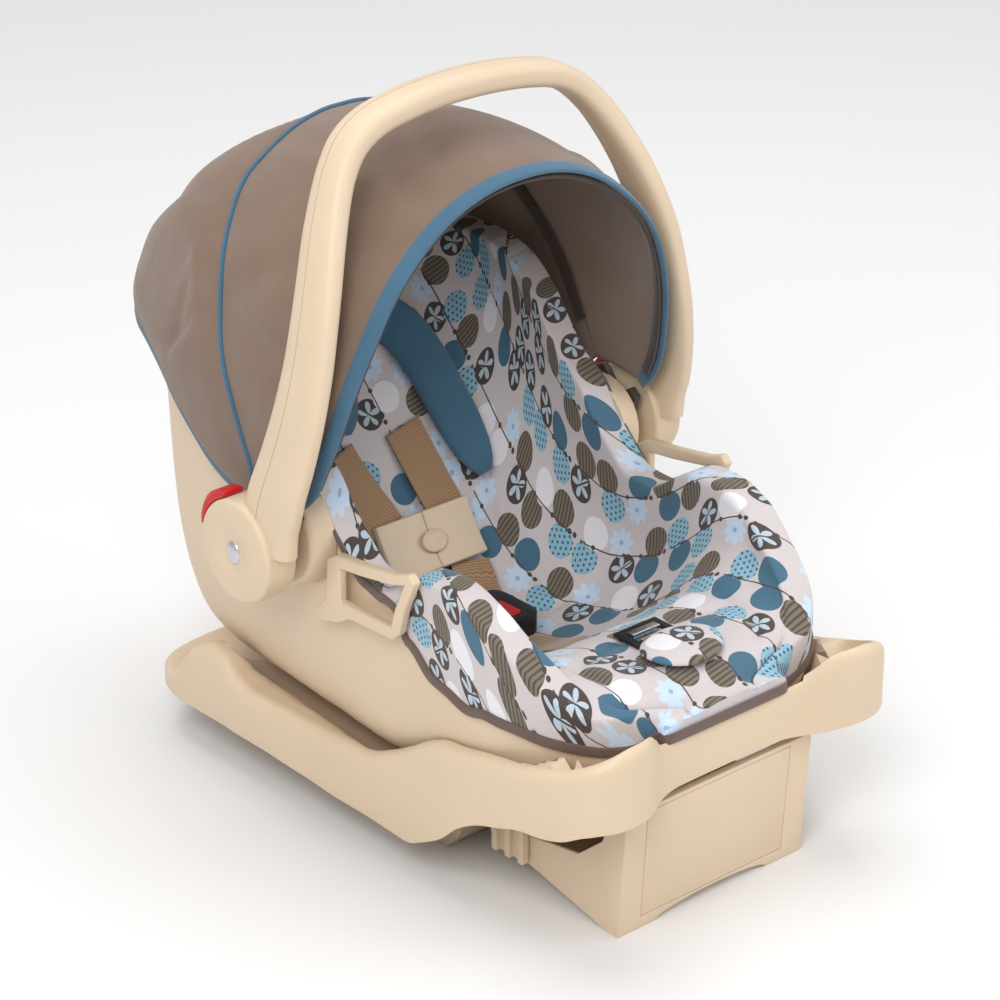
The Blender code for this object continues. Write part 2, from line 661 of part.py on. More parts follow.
def build_hub(side_name, sign):
    """Fixed housing, pivot pin, and the handle's disc, cap and rivet on one side."""
    def turned(name, profile, finish, hole=0.0, steps=30):
        line = [(sign * x, r) for x, r in profile]
        return place(name, turned_x(line, HUB_Y, HUB_Z, steps, hole), finish)

    bore = PIN_RADIUS + PIN_CLEARANCE
    turned("hub_housing_" + side_name,
           ((HOUSING_IN, 0.044), (HOUSING_OUT - 0.003, 0.040), (HOUSING_OUT, 0.037)),
           tan_plastic(), PIN_RADIUS + GAP)
    turned("pivot_pin_" + side_name,
           ((HOUSING_IN + 0.001, PIN_RADIUS), (CAP_OUT - CAP_THICK - 0.003, PIN_RADIUS)),
           steel(), 0.0, 20)
    turned("handle_disc_" + side_name,
           ((DISC_IN, HUB_RADIUS - 0.003), (DISC_IN + 0.003, HUB_RADIUS), (DISC_OUT, HUB_RADIUS)),
           tan_plastic(), bore)
    turned("hub_cap_" + side_name,
           ((DISC_OUT + GAP, HUB_RADIUS), (DISC_OUT + 0.003, HUB_RADIUS - 0.0006),
            (DISC_OUT + 0.0055, HUB_RADIUS - 0.004), (CAP_OUT - 0.002, HUB_RADIUS - 0.014),
            (CAP_OUT, 0.0085)),
           tan_plastic(), 0.0075)
    turned("hub_rivet_" + side_name,
           ((DISC_OUT + 0.001, 0.0072), (CAP_OUT + 0.0005, 0.0072), (CAP_OUT + 0.0015, 0.005)),
           steel(), 0.0, 20)


BUTTON_FROM = -20.0          # degrees back from straight up
BUTTON_TO = -78.0
BUTTON_TRAVEL = 0.004


def build_handle_button(side_name, sign):
    """The red crescent on the disc's upper rear rim that frees the handle."""
    rings = []
    for step in range(13):
        share = step / 12
        tilt = BUTTON_FROM + (BUTTON_TO - BUTTON_FROM) * share
        fat = 0.0035 + 0.0055 * math.sin(math.pi * share)
        inner = HUB_RADIUS + 0.0006
        rings.append([
            hub_point(inner, tilt, sign * (DISC_IN + 0.006)),
            hub_point(inner + fat, tilt, sign * (DISC_IN + 0.006)),
            hub_point(inner + fat, tilt, sign * (DISC_OUT + 0.001)),
            hub_point(inner + fat * 0.6, tilt, sign * (DISC_OUT + 0.0045)),
            hub_point(inner, tilt, sign * (DISC_OUT + 0.0045)),
        ])
    place("handle_button_" + side_name, ring_loft(rings), red_plastic(), 35)


# ---------------------------------------------------------------- handle
# the right half of the handle's middle line, from the disc to the top
ARM_PATH = ((1.000, 0.030, 0.258), (1.000, 0.031, 0.280), (0.995, 0.025, 0.305),
            (0.970, 0.017, 0.335),
            (0.935, 0.011, 0.370), (0.895, 0.009, 0.405), (0.860, 0.010, 0.435), (0.810, 0.015, 0.467),
            (0.750, 0.023, 0.498), (0.678, 0.032, 0.526), (0.620, 0.038, 0.543), (0.545, 0.043, 0.558),
            (0.440, 0.045, 0.569), (0.300, 0.046, 0.575), (0.150, 0.047, 0.578), (0.000, 0.047, 0.579))
ARM_SPLIT = 0.24             # parting line, as a share of half the depth behind the middle


def handle_path():
    top = HUB_Z + HANDLE_REACH
    scale = HANDLE_REACH / DRAWN_REACH
    drawn_top = ARM_PATH[-1][2]
    half = []
    for share, y, z in reversed(ARM_PATH):
        half.append(Vector((ARM_CENTRE_X * share, HUB_Y + (y - HUB_Y) * scale,
                            top + (z - drawn_top) * scale)))
    return smooth_path(mirrored(half), 43)


def handle_rings(rear):
    path = handle_path()
    total = len(path) - 1
    rings = []
    for index, centre in enumerate(path):
        before = path[max(index - 1, 0)]
        after = path[min(index + 1, total)]
        along = (after - before).normalized()
        depth_way = Vector((0, 1, 0))
        thick_way = depth_way.cross(along).normalized()
        middle = abs(2 * index / total - 1)
        depth = GRIP_DEPTH + (ARM_DEPTH - GRIP_DEPTH) * smooth_value(
            ((0.0, 0.0), (0.30, 0.0), (0.45, 0.25), (0.62, 0.45), (0.80, 0.75), (0.93, 1.0)), middle)
        depth *= smooth_value(((0.93, 1.0), (1.0, 0.62)), middle)
        thick = GRIP_THICK + (ARM_THICK - GRIP_THICK) * min(middle * 2, 1.0)
        split = ARM_SPLIT * depth / 2
        ring = []
        for step in range(12):
            angle = 2 * math.pi * (step + 0.5) / 12
            c, s = math.cos(angle), math.sin(angle)
            power = 2 / 3.2
            a = depth / 2 * math.copysign(abs(c) ** power, c)
            b = thick / 2 * math.copysign(abs(s) ** power, s)
            if rear:
                a = max(a, split + GAP)
            else:
                a = min(a, split)
            ring.append(centre + depth_way * a + thick_way * b)
        rings.append(ring)
    return rings


def build_handle():
    for name, rear in (("handle_front_shell", False), ("handle_rear_shell", True)):
        shell = place(name, ring_loft(handle_rings(rear)), tan_plastic(), 35)
        for side_name, sign in SIDES:
            line = [(sign * (DISC_IN - 0.006), HUB_RADIUS + GAP),
                    (sign * (CAP_OUT + 0.006), HUB_RADIUS + GAP)]
            cut(shell, turned_x(line, HUB_Y, HUB_Z, 36), name + "_hub_" + side_name)


# ---------------------------------------------------------------- canopy
CANOPY_HALF = FRONT_EYE_IN + 0.006
CANOPY_CLEAR = 0.024         # handle's middle line to the canopy's hoop
CANOPY_GROW = (HANDLE_REACH - CANOPY_CLEAR) / DRAWN_HOOP
MID_TILT = -25.0             # degrees forward of straight up
FRONT_EYE_TILT = 43.6
EYE_ARM = 0.046              # hub to the end of an eye's arm
EYE_ARM_HALF = 0.005
# radius from the hub, share of the canopy's half width
MID_HOOP = ((0.050, 1.0), (0.070, 1.0), (0.091, 1.0), (0.137, 0.985), (0.174, 0.93), (0.216, 0.83),
            (0.247, 0.72), (0.270, 0.60), (0.284, 0.46), (0.297, 0.29), (0.304, 0.12), (0.305, 0.0))
# share of the half width, y, z
FRONT_HOOP = ((0.99, 0.026, 0.292), (0.988, 0.014, 0.305), (0.985, 0.006, 0.322),
              (0.955, -0.004, 0.350),
              (0.905, -0.014, 0.390), (0.820, -0.022, 0.432), (0.720, -0.024, 0.463),
              (0.575, -0.024, 0.490), (0.400, -0.024, 0.511), (0.200, -0.025, 0.524),
              (0.0, -0.026, 0.528))
DRAWN_HUB_Y = 0.060          # hub that the front hoop's points were drawn about
DRAWN_HUB_Z = 0.250
HOOP_POINTS = 27
REAR_SWELL = 0.042           # how far the cloth behind the middle bow stands out
# half width, radius from the hub that stays inside the swinging handle
INSIDE_HANDLE = ((0.0, 0.308), (0.071, 0.302), (0.114, 0.290), (0.138, 0.268), (0.155, 0.232),
                 (0.179, 0.170))


def mid_hoop_half():
    return [hub_point(r * CANOPY_GROW, MID_TILT, CANOPY_HALF * share) for r, share in MID_HOOP]


def front_hoop_half():
    half = []
    for share, y, z in FRONT_HOOP:
        half.append(Vector((CANOPY_HALF * share, HUB_Y + (y - DRAWN_HUB_Y) * CANOPY_GROW,
                            HUB_Z + (z - DRAWN_HUB_Z) * CANOPY_GROW)))
    return half


def hoop_path(half, inward=0.0, count=HOOP_POINTS):
    """The whole hoop from left to right, moved in towards the seat."""
    line = smooth_path(mirrored(list(reversed(half))), count)
    centre = Vector((0.0, HUB_Y, HUB_Z + 0.06))
    moved = []
    for index, point in enumerate(line):
        along = line[min(index + 1, count - 1)] - line[max(index - 1, 0)]
        away = point - centre
        away -= along * (away.dot(along) / along.length_squared)
        moved.append(point - away.normalized() * inward)
    return moved


def build_bow(name, half, skip):
    """A flat bow inside the cloth, ending in an eye round each pivot pin."""
    line = hoop_path(half, CLOTH + BOW_GAP, 41)[skip:-skip]
    rows = []
    for index, point in enumerate(line):
        along = line[min(index + 1, len(line) - 1)] - line[max(index - 1, 0)]
        away = point - Vector((0.0, HUB_Y, HUB_Z + 0.06))
        away -= along * (away.dot(along) / along.length_squared)
        side = along.cross(away).normalized()
        rows.append([point - side * BOW_WIDTH / 2, point + side * BOW_WIDTH / 2])
    place(name, sheet_solid(rows, BOW_THICK), grey_plastic(), 35)


def build_eye(name, side_name, sign, eye_in, line_end):
    """The pivot eye with its short arm up to the bow."""
    outline = []
    to_bow = math.atan2(line_end.z - HUB_Z, line_end.y - HUB_Y)
    reach = math.hypot(line_end.z - HUB_Z, line_end.y - HUB_Y) - 0.002
    for step in range(19):
        angle = to_bow + math.radians(35) + math.radians(290) * step / 18
        outline.append((HUB_Y + EYE_RADIUS * math.cos(angle), HUB_Z + EYE_RADIUS * math.sin(angle)))
    across = Vector((-math.sin(to_bow), math.cos(to_bow)))
    tip = Vector((HUB_Y + reach * math.cos(to_bow), HUB_Z + reach * math.sin(to_bow)))
    for way in (-1, 1):
        outline.append(tuple(tip + across * way * EYE_ARM_HALF))
    low, high = sorted((sign * eye_in, sign * (eye_in + EYE_LAYER)))
    eye = place(name + side_name, prism(outline, "X", low, high), grey_plastic(), 35)
    bore = PIN_RADIUS + PIN_CLEARANCE
    cut(eye, turned_x(((low - 0.002, bore), (high + 0.002, bore)), HUB_Y, HUB_Z, 24),
        name + side_name + "_bore")


def build_canopy():
    build_bow("canopy_mid_bow", mid_hoop_half(), 2)
    build_bow("canopy_front_bow", front_hoop_half(), 1)
    for side_name, sign in SIDES:
        build_eye("canopy_mid_eye_", side_name, sign, MID_EYE_IN, hub_point(EYE_ARM, MID_TILT, 0.0))
        build_eye("canopy_front_eye_", side_name, sign, FRONT_EYE_IN,
                  hub_point(EYE_ARM - 0.0025, FRONT_EYE_TILT, 0.0))
    front = hoop_path(front_hoop_half())
    mid = hoop_path(mid_hoop_half())
    rows = []
    for step in range(7):
        share = step / 6 * (1 - CLOTH_SPLIT)
        row = []
        for a, b in zip(front, mid):
            point = a.lerp(b, share)
            away = point - Vector((0.0, HUB_Y, HUB_Z))
            want = (a - Vector((0.0, HUB_Y, HUB_Z))).length * (1 - share)
            want += (b - Vector((0.0, HUB_Y, HUB_Z))).length * share
            row.append(Vector((0.0, HUB_Y, HUB_Z)) + away.normalized() * want)
        rows.append(row)
    place("canopy_front_cloth", outward_sheet(rows), canopy_fabric(), 60)
    trim = rear_trim(len(mid))
    rows = []
    for step in range(8):
        share = CLOTH_SPLIT + step / 7 * (1 - CLOTH_SPLIT)
        row = []
        for index, (a, b) in enumerate(zip(mid, trim)):
            place_across = math.sin(math.pi * index / (len(mid) - 1))
            swell = REAR_SWELL * math.sin(math.pi * share) ** 0.8 * place_across
            point = a.lerp(b, share)
            away = point - Vector((0.0, 0.16, 0.30))
            away.x *= 0.5
            point = point + away.normalized() * swell
            out = Vector((0.0, point.y - HUB_Y, point.z - HUB_Z))
            most = smooth_value(INSIDE_HANDLE, abs(point.x)) * CANOPY_GROW
            if out.length > most:
                point -= out.normalized() * (out.length - most)
            row.append(point)
        rows.append(row)
    place("canopy_rear_cloth", outward_sheet(rows), canopy_fabric(), 60)


def outward_sheet(rows):
    """Thicken a canopy sheet inward, whichever way its rows run."""
    middle = rows[len(rows) // 2]
    top = middle[len(middle) // 2]
    across = middle[len(middle) // 2 + 1] - middle[len(middle) // 2 - 1]
    along = rows[len(rows) // 2 + 1][len(middle) // 2] - rows[len(rows) // 2 - 1][len(middle) // 2]
    outward = across.cross(along).dot(top - Vector((0.0, HUB_Y, HUB_Z))) > 0
    return sheet_solid(rows if outward else list(reversed(rows)), CLOTH)


def rear_trim(count):
    """The cloth's lower edge, along the sides of the shell and round behind its head end."""
    edge = SHELL_HALF_WIDTH + 0.0115
    half = [(edge, 0.112, 0.262), (edge, 0.133, 0.266), (edge, 0.158, 0.277),
            (edge - 0.002, 0.183, 0.293), (edge - 0.005, 0.209, 0.311),
            (edge - 0.010, 0.234, 0.330), (edge - 0.018, 0.262, 0.344),
            (edge - 0.032, 0.295, 0.350), (edge - 0.056, 0.325, 0.352), (edge - 0.095, 0.338, 0.352),
            (0.030, 0.343, 0.352), (0.0, 0.344, 0.352)]
    return smooth_path(mirrored(list(reversed(half))), count)


# ---------------------------------------------------------------- belt guides
def build_belt_guide(side_name, sign):
    """The open hook on the carrier's side that a vehicle belt passes under."""
    inner = SHELL_HALF_WIDTH + 0.0075
    outline = [(0.012, 0.192), (0.024, 0.190), (0.026, 0.200), (0.013, 0.212), (0.011, 0.246),
               (-0.002, 0.254), (-0.030, 0.256), (-0.070, 0.262), (-0.086, 0.268), (-0.092, 0.262),
               (-0.080, 0.236), (-0.074, 0.214), (-0.066, 0.206), (-0.015, 0.204), (-0.002, 0.196)]
    hole = [(-0.004, 0.215), (-0.004, 0.243), (-0.030, 0.246), (-0.066, 0.252), (-0.079, 0.256),
            (-0.070, 0.236), (-0.064, 0.216)]
    low, high = sorted((sign * inner, sign * (inner + 0.008)))
    guide = place("belt_guide_" + side_name, prism(outline, "X", low, high), tan_plastic(), 30)
    cut(guide, prism(hole, "X", low - 0.01, high + 0.01), "belt_gap_" + side_name)


# ---------------------------------------------------------------- harness
CLIP_HALF_WIDTH = 0.048
CLIP_THICK = 0.007
CLIP_LIFT = 0.0155           # top of the clip above the pad
CLIP_X = -0.010              # the harness lies a little to one side
COVER_WIDTH = 0.040
COVER_THICK = 0.014
BUCKLE_X = -0.004
BUCKLE_Y = 0.002


def over_seat(x, y, lift):
    return Vector((x, y, pad_top(x, y) + lift))


def lie_on_seat(points):
    """A strap's middle line from (x, y, height above the pad)."""
    return smooth_path([over_seat(*point) for point in points], 9)


def build_harness():
    """Two shoulder straps with padded covers, joined by the clip and locked in the buckle."""
    across = (Vector((1, 0, 0)), Vector((1, 0, 0)))
    up_the_side = (Vector((1, 0, -0.34)), Vector((1, 0, -0.14)))
    strap("shoulder_cover_right",
          lie_on_seat(((0.024, 0.156, 0.018), (0.034, 0.144, 0.026), (0.046, 0.126, 0.027),
                       (0.057, 0.108, 0.026), (0.064, 0.096, 0.024))),
          across, blue_fabric(), COVER_WIDTH, COVER_THICK)
    strap("shoulder_cover_left",
          lie_on_seat(((-0.040, 0.160, 0.018), (-0.046, 0.152, 0.026), (-0.052, 0.140, 0.027),
                       (-0.056, 0.130, 0.026), (-0.058, 0.122, 0.024))),
          across, blue_fabric(), COVER_WIDTH, COVER_THICK)
    strap("shoulder_strap_left",
          lie_on_seat(((-0.066, 0.116, 0.009), (-0.062, 0.110, 0.009), (-0.054, 0.102, 0.009),
                       (-0.046, 0.0935, 0.009))),
          up_the_side, webbing(), STRAP_WIDTH)
    strap("shoulder_strap_right",
          lie_on_seat(((0.006, 0.120, 0.006), (0.009, 0.112, 0.010), (0.014, 0.102, 0.010),
                       (0.018, 0.0935, 0.010))),
          across, webbing(), STRAP_WIDTH)
    strap("chest_strap_left",
          lie_on_seat(((-0.034, 0.0585, 0.0100), (-0.031, 0.052, 0.0100), (-0.027, 0.045, 0.0105),
                       (-0.024, 0.038, 0.0120))),
          across, webbing(), 0.030)
    strap("chest_strap_right",
          lie_on_seat(((0.021, 0.0585, 0.0100), (0.019, 0.052, 0.0105), (0.015, 0.044, 0.0115),
                       (0.012, 0.038, 0.0125), (0.010, 0.0335, 0.0130))),
          across, webbing(), STRAP_WIDTH)


def build_buckle():
    """Shell, button and spring, on the crotch strap that comes up through the pad."""
    wide = 0.026
    spots = [(x, BUCKLE_Y + y) for x in (BUCKLE_X - wide, BUCKLE_X, BUCKLE_X + wide)
             for y in (-0.028, 0.0, 0.028)]
    low = max(pad_top(x, y) for x, y in spots) + 0.003
    shell = place("buckle_housing",
                  prism(rounded(BUCKLE_X, BUCKLE_Y, wide, 0.028, 0.010), "Z", low, low + 0.018),
                  black_plastic(), 35)
    button_y = BUCKLE_Y - 0.006
    button = 0.0130
    cut(shell, prism(rounded(BUCKLE_X, button_y, button + 0.0005, button + 0.0005, 0.003), "Z",
                     low + 0.008, low + 0.030), "buckle_well")
    place("buckle_button",
          prism(rounded(BUCKLE_X, button_y, button, button, 0.003), "Z", low + 0.0125, low + 0.0195),
          red_plastic(), 35)
    place("buckle_spring", spring_solid(BUCKLE_X, button_y, low + 0.0083, low + 0.0122), steel())
    path = [over_seat(0.0, -0.090, 0.0035), over_seat(0.0, -0.078, 0.006),
            over_seat(0.0, -0.056, 0.006), over_seat(BUCKLE_X, BUCKLE_Y - 0.0295, 0.006)]
    strap("crotch_strap", smooth_path(path, 7), (Vector((1, 0, 0)), Vector((1, 0, 0))), webbing())


def spring_solid(x, y, low, high):
    ring = [(x + 0.004 * math.cos(2 * math.pi * k / 12), y + 0.004 * math.sin(2 * math.pi * k / 12))
            for k in range(12)]
    return prism(ring, "Z", low, high)


def build_chest_clip():
    """Two halves that snap together across the chest straps."""
    for side_name, sign in SIDES:
        rows = []
        for y in (0.090, 0.083, 0.076, 0.069, 0.062):
            low, high = sorted((CLIP_X + sign * GAP, CLIP_X + sign * CLIP_HALF_WIDTH))
            level = pad_top(CLIP_X, y) + CLIP_LIFT
            rows.append([Vector((low, y, level)), Vector(((low + high) / 2, y, level)),
                         Vector((high, y, level))])
        place("chest_clip_" + side_name, sheet_solid(rows, CLIP_THICK), tan_plastic(), 35)


ADJUSTER_Y = -0.168


def build_adjuster():
    """The strap adjuster in the seat's front: its plate, its lever and the thin pull strap."""
    y = ADJUSTER_Y
    top = pad_top(0.0, y)
    plate = place("adjuster_plate",
                  box((-0.022, y - 0.014, top + 0.0015), (0.022, y + 0.014, top + 0.0045)),
                  black_plastic(), 35)
    cut(plate, box((-0.015, y - 0.007, top - 0.01), (0.015, y + 0.007, top + 0.02)), "adjuster_slot")
    place("adjuster_lever",
          box((-0.014, y - 0.0005, top + 0.0020), (0.014, y + 0.0065, top + 0.0060)),
          steel(), 35)
    path = [Vector((0.0, y - 0.0035, top + 0.0045)), Vector((0.0, y - 0.016, top + 0.009)),
            over_seat(0.0, y - 0.034, 0.006), over_seat(0.0, y - 0.055, 0.005),
            over_seat(0.0, y - 0.072, 0.005)]
    strap("adjuster_strap", smooth_path(path, 9), (Vector((1, 0, 0)), Vector((1, 0, 0))),
          webbing(), 0.020)


# ---------------------------------------------------------------- carrier latch
LATCH_Y = 0.150
LATCH_HOOK_X = 0.048


def build_latch():
    """Bar in the carrier's bottom and the base's two sprung hooks that hold it."""
    y = LATCH_Y
    z = shell_keel(y) + SHELL_WALL + 0.012
    half = LATCH_HOOK_X + 0.014
    line = ((-half, LATCH_BAR_RADIUS), (half, LATCH_BAR_RADIUS))
    place("latch_bar", turned_x(line, y, z, 16), steel())
    for side_name, sign in SIDES:
        x = sign * LATCH_HOOK_X
        outline = [(y + 0.028, 0.022), (y + 0.036, 0.026), (y + 0.026, 0.060),
                   (y + 0.014, z + 0.010), (y + 0.004, z + 0.014), (y - 0.003, z + 0.013),
                   (y - 0.002, z + 0.0075), (y + 0.006, z + 0.003), (y + 0.007, z - 0.008),
                   (y + 0.018, 0.056)]
        place("latch_hook_" + side_name, prism(outline, "X", x - 0.004, x + 0.004), steel(), 35)


def cut_latch_windows(base_shell, carrier_shell):
    y = LATCH_Y
    for side_name, sign in SIDES:
        x = sign * LATCH_HOOK_X
        low = (x - 0.008, y - 0.016, 0.040)
        high = (x + 0.008, y + 0.042, 0.079)
        cut(base_shell, box(low, high), "base_window_" + side_name, "MANIFOLD")
        cut(carrier_shell, box(low, high), "carrier_window_" + side_name, "MANIFOLD")


def build_release_lever():
    """The squeeze bar in the step at the back of the carrier that frees it from the base."""
    outline = rounded(0.291, 0.2135, 0.0120, 0.0050, 0.0045)
    place("release_lever", prism(outline, "X", -0.060, 0.060), red_plastic(), 35)


for old in list(bpy.data.objects):
    bpy.data.objects.remove(old, do_unlink=True)

shell = build_carrier_shell()
build_seat_tub()
build_seat_pad()
base = build_base_shell()
build_foot()
build_pan()
build_handle()
build_canopy()
for side, way in SIDES:
    build_hub(side, way)
    build_handle_button(side, way)
    build_belt_guide(side, way)
build_harness()
build_buckle()
build_chest_clip()
build_adjuster()
build_latch()
cut_latch_windows(base, shell)
build_release_lever()
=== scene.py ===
import json
import math
from functools import lru_cache

import bmesh
import bpy
import numpy as np
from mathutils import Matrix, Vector, noise

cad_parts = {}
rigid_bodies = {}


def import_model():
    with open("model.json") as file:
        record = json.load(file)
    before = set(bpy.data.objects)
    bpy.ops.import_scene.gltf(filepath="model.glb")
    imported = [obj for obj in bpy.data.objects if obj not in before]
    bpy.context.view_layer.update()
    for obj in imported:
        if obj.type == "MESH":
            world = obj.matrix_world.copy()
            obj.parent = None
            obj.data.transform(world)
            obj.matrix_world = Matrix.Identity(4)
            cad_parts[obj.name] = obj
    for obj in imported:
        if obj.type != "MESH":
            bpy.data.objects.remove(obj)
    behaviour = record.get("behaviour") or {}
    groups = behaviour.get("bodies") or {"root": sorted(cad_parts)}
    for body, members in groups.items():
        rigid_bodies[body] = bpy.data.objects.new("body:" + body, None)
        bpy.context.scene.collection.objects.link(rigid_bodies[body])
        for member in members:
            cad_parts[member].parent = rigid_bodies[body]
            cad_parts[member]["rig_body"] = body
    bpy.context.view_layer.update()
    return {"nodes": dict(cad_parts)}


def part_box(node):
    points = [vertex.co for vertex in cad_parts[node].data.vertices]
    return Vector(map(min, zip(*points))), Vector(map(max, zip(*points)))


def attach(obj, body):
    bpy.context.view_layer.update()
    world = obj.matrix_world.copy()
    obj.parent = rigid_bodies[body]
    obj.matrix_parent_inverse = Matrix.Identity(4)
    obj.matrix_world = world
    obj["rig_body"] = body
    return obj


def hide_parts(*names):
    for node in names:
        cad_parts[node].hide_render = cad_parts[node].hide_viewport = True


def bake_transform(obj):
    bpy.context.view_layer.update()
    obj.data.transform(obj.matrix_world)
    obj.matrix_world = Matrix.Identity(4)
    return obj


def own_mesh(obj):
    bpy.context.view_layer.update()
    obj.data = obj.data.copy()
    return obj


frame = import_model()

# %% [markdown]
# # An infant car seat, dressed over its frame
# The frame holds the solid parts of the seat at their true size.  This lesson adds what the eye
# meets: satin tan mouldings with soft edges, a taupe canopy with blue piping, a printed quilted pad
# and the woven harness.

scene = bpy.context.scene

# %% [markdown]
# ## The studio
# Catalogue pictures of such a seat use a long lens, a white sweep and very soft light from above
# and from the camera's left.  A long lens keeps the base's edges nearly parallel, so the camera
# stands well back.  The floor is one large pale plane.

# %% Camera, floor and lights
AZIMUTH = math.radians(-41.5)
ELEVATION = math.radians(25.0)
CAMERA_DISTANCE = 2.677
CAMERA_LENS, SENSOR_WIDTH = 122.4, 36.0
LOOK_AT = Vector((0.0, 0.0, 0.248))


def stand_camera():
    data = bpy.data.cameras.new("studio_camera")
    data.lens, data.sensor_width = CAMERA_LENS, SENSOR_WIDTH
    data.clip_end = 20.0
    camera = bpy.data.objects.new("studio_camera", data)
    level = math.cos(ELEVATION)
    back = Vector((math.sin(AZIMUTH) * level, -math.cos(AZIMUTH) * level, math.sin(ELEVATION)))
    camera.location = LOOK_AT + back * CAMERA_DISTANCE
    camera.rotation_euler = (math.pi / 2 - ELEVATION, 0.0, AZIMUTH)
    scene.collection.objects.link(camera)
    scene.camera = camera


def soft_light(name, place, aim, size, power):
    data = bpy.data.lights.new(name, "AREA")
    data.energy = power
    data.size = size
    lamp = bpy.data.objects.new(name, data)
    lamp.location = place
    way = Vector(aim) - Vector(place)
    lamp.rotation_euler = way.to_track_quat("-Z", "Y").to_euler()
    scene.collection.objects.link(lamp)


stand_camera()
soft_light("key_light", (-2.2, -1.6, 2.6), (0, 0, 0.25), 1.6, 62)
soft_light("fill_light", (2.4, -2.4, 1.6), (0, 0, 0.25), 2.4, 34)
soft_light("top_light", (0.2, 0.6, 3.0), (0, 0, 0.2), 2.2, 38)
world = bpy.data.worlds.new("studio_world")
world.use_nodes = True
backdrop = world.node_tree.nodes["Background"].inputs
backdrop["Color"].default_value = (1.0, 1.0, 1.0, 1.0)
backdrop["Strength"].default_value = 0.62
scene.world = world
scene.view_settings.view_transform = "Standard"
bpy.ops.mesh.primitive_plane_add(size=12.0)
floor = bpy.context.object
floor.name = "studio_floor"
print("studio ready")

# %% [markdown]
# ## Arithmetic on shader sockets
# A finish is easier to read as an expression than as a list of nodes.  The small class below holds
# one output socket; adding or multiplying two of them adds the Math node for it.  Numbers are
# worked out in Python, and colours go through Mix nodes.

# %% The socket class
class Value:
    def __init__(self, tree, socket):
        self.tree = tree
        self.socket = socket

    def node(self, kind, settings=(), **inputs):
        made = self.tree.nodes.new(kind)
        for name, setting in dict(settings).items():
            setattr(made, name, setting)
        for key, given in inputs.items():
            slot = made.inputs[int(key[1:]) if key[1:].isdigit() else key]
            if isinstance(given, Value):
                self.tree.links.new(given.socket, slot)
            else:
                slot.default_value = given
        return made

    def math(self, operation, *others):
        inputs = {"i" + str(k + 1): other for k, other in enumerate(others)}
        made = self.node("ShaderNodeMath", {"operation": operation}, i0=self, **inputs)
        return Value(self.tree, made.outputs[0])

    def __add__(self, other):
        return self.math("ADD", other)

    __radd__ = __add__

    def __mul__(self, other):
        return self.math("MULTIPLY", other)

    __rmul__ = __mul__

    def __sub__(self, other):
        return self.math("SUBTRACT", other)

    def __rsub__(self, other):
        return (self * -1.0) + other

    def __truediv__(self, other):
        return self.math("DIVIDE", other)

    def __lt__(self, other):
        return self.math("LESS_THAN", other)

    def __gt__(self, other):
        return self.math("GREATER_THAN", other)

    def parts(self):
        made = self.node("ShaderNodeSeparateXYZ", i0=self)
        return [Value(self.tree, socket) for socket in made.outputs]

    def ramp(self, low, high):
        """0 below low, 1 above high, smooth between."""
        made = self.node("ShaderNodeMapRange", {"interpolation_type": "SMOOTHSTEP"},
                         i0=self, i1=low, i2=high)
        return Value(self.tree, made.outputs[0])

    def mix(self, first, second):
        """Colours mixed by this mask."""
        made = self.tree.nodes.new("ShaderNodeMix")
        made.data_type = "RGBA"
        self.tree.links.new(self.socket, made.inputs[0])
        for slot, given in ((made.inputs[6], first), (made.inputs[7], second)):
            if isinstance(given, Value):
                self.tree.links.new(given.socket, slot)
            else:
                slot.default_value = (*given, 1.0)
        return Value(self.tree, made.outputs[2])


class Finish:
    """One material: its Principled shader, its coordinates and its textures."""

    def __init__(self, name, colour, roughness, **constants):
        self.material = bpy.data.materials.new(name)
        self.material.use_nodes = True
        self.tree = self.material.node_tree
        self.shader = self.tree.nodes["Principled BSDF"]
        self.shader.inputs["Base Color"].default_value = (*colour, 1.0)
        self.shader.inputs["Roughness"].default_value = roughness
        for key, value in constants.items():
            self.shader.inputs[key.replace("_", " ")].default_value = value

    def place(self):
        return Value(self.tree, self.tree.nodes.new("ShaderNodeTexCoord").outputs["Object"])

    def uv(self):
        made = self.tree.nodes.new("ShaderNodeUVMap")
        made.uv_map = "cloth"
        return Value(self.tree, made.outputs["UV"])

    def noise(self, where, scale, detail=2.0, rough=0.5):
        made = where.node("ShaderNodeTexNoise", Vector=where, Scale=scale, Detail=detail,
                          Roughness=rough)
        return Value(self.tree, made.outputs["Fac"])

    def weave(self, u, v, pitch):
        """Height of a plain weave: threads over and under each other."""
        warp, weft = ((way * (math.pi / pitch)).math("SINE") for way in (u, v))
        over = (warp * weft).ramp(-0.2, 0.2)
        return warp.math("ABSOLUTE") * over + weft.math("ABSOLUTE") * (1.0 - over)

    def feed(self, **inputs):
        for key, value in inputs.items():
            self.tree.links.new(value.socket, self.shader.inputs[key.replace("_", " ")])

    def bump(self, height, distance, strength=1.0):
        made = height.node("ShaderNodeBump", Height=height, Distance=distance, Strength=strength)
        self.tree.links.new(made.outputs["Normal"], self.shader.inputs["Normal"])


print("shader tools ready")

# %% [markdown]
# ## Moulded plastics
# The mouldings are polypropylene with a fine spark-eroded grain: satin, a little mottled, and
# slightly paler and smoother where hands polish the edges.  A fine noise gives the grain and a
# broad one the faint unevenness of the colour.

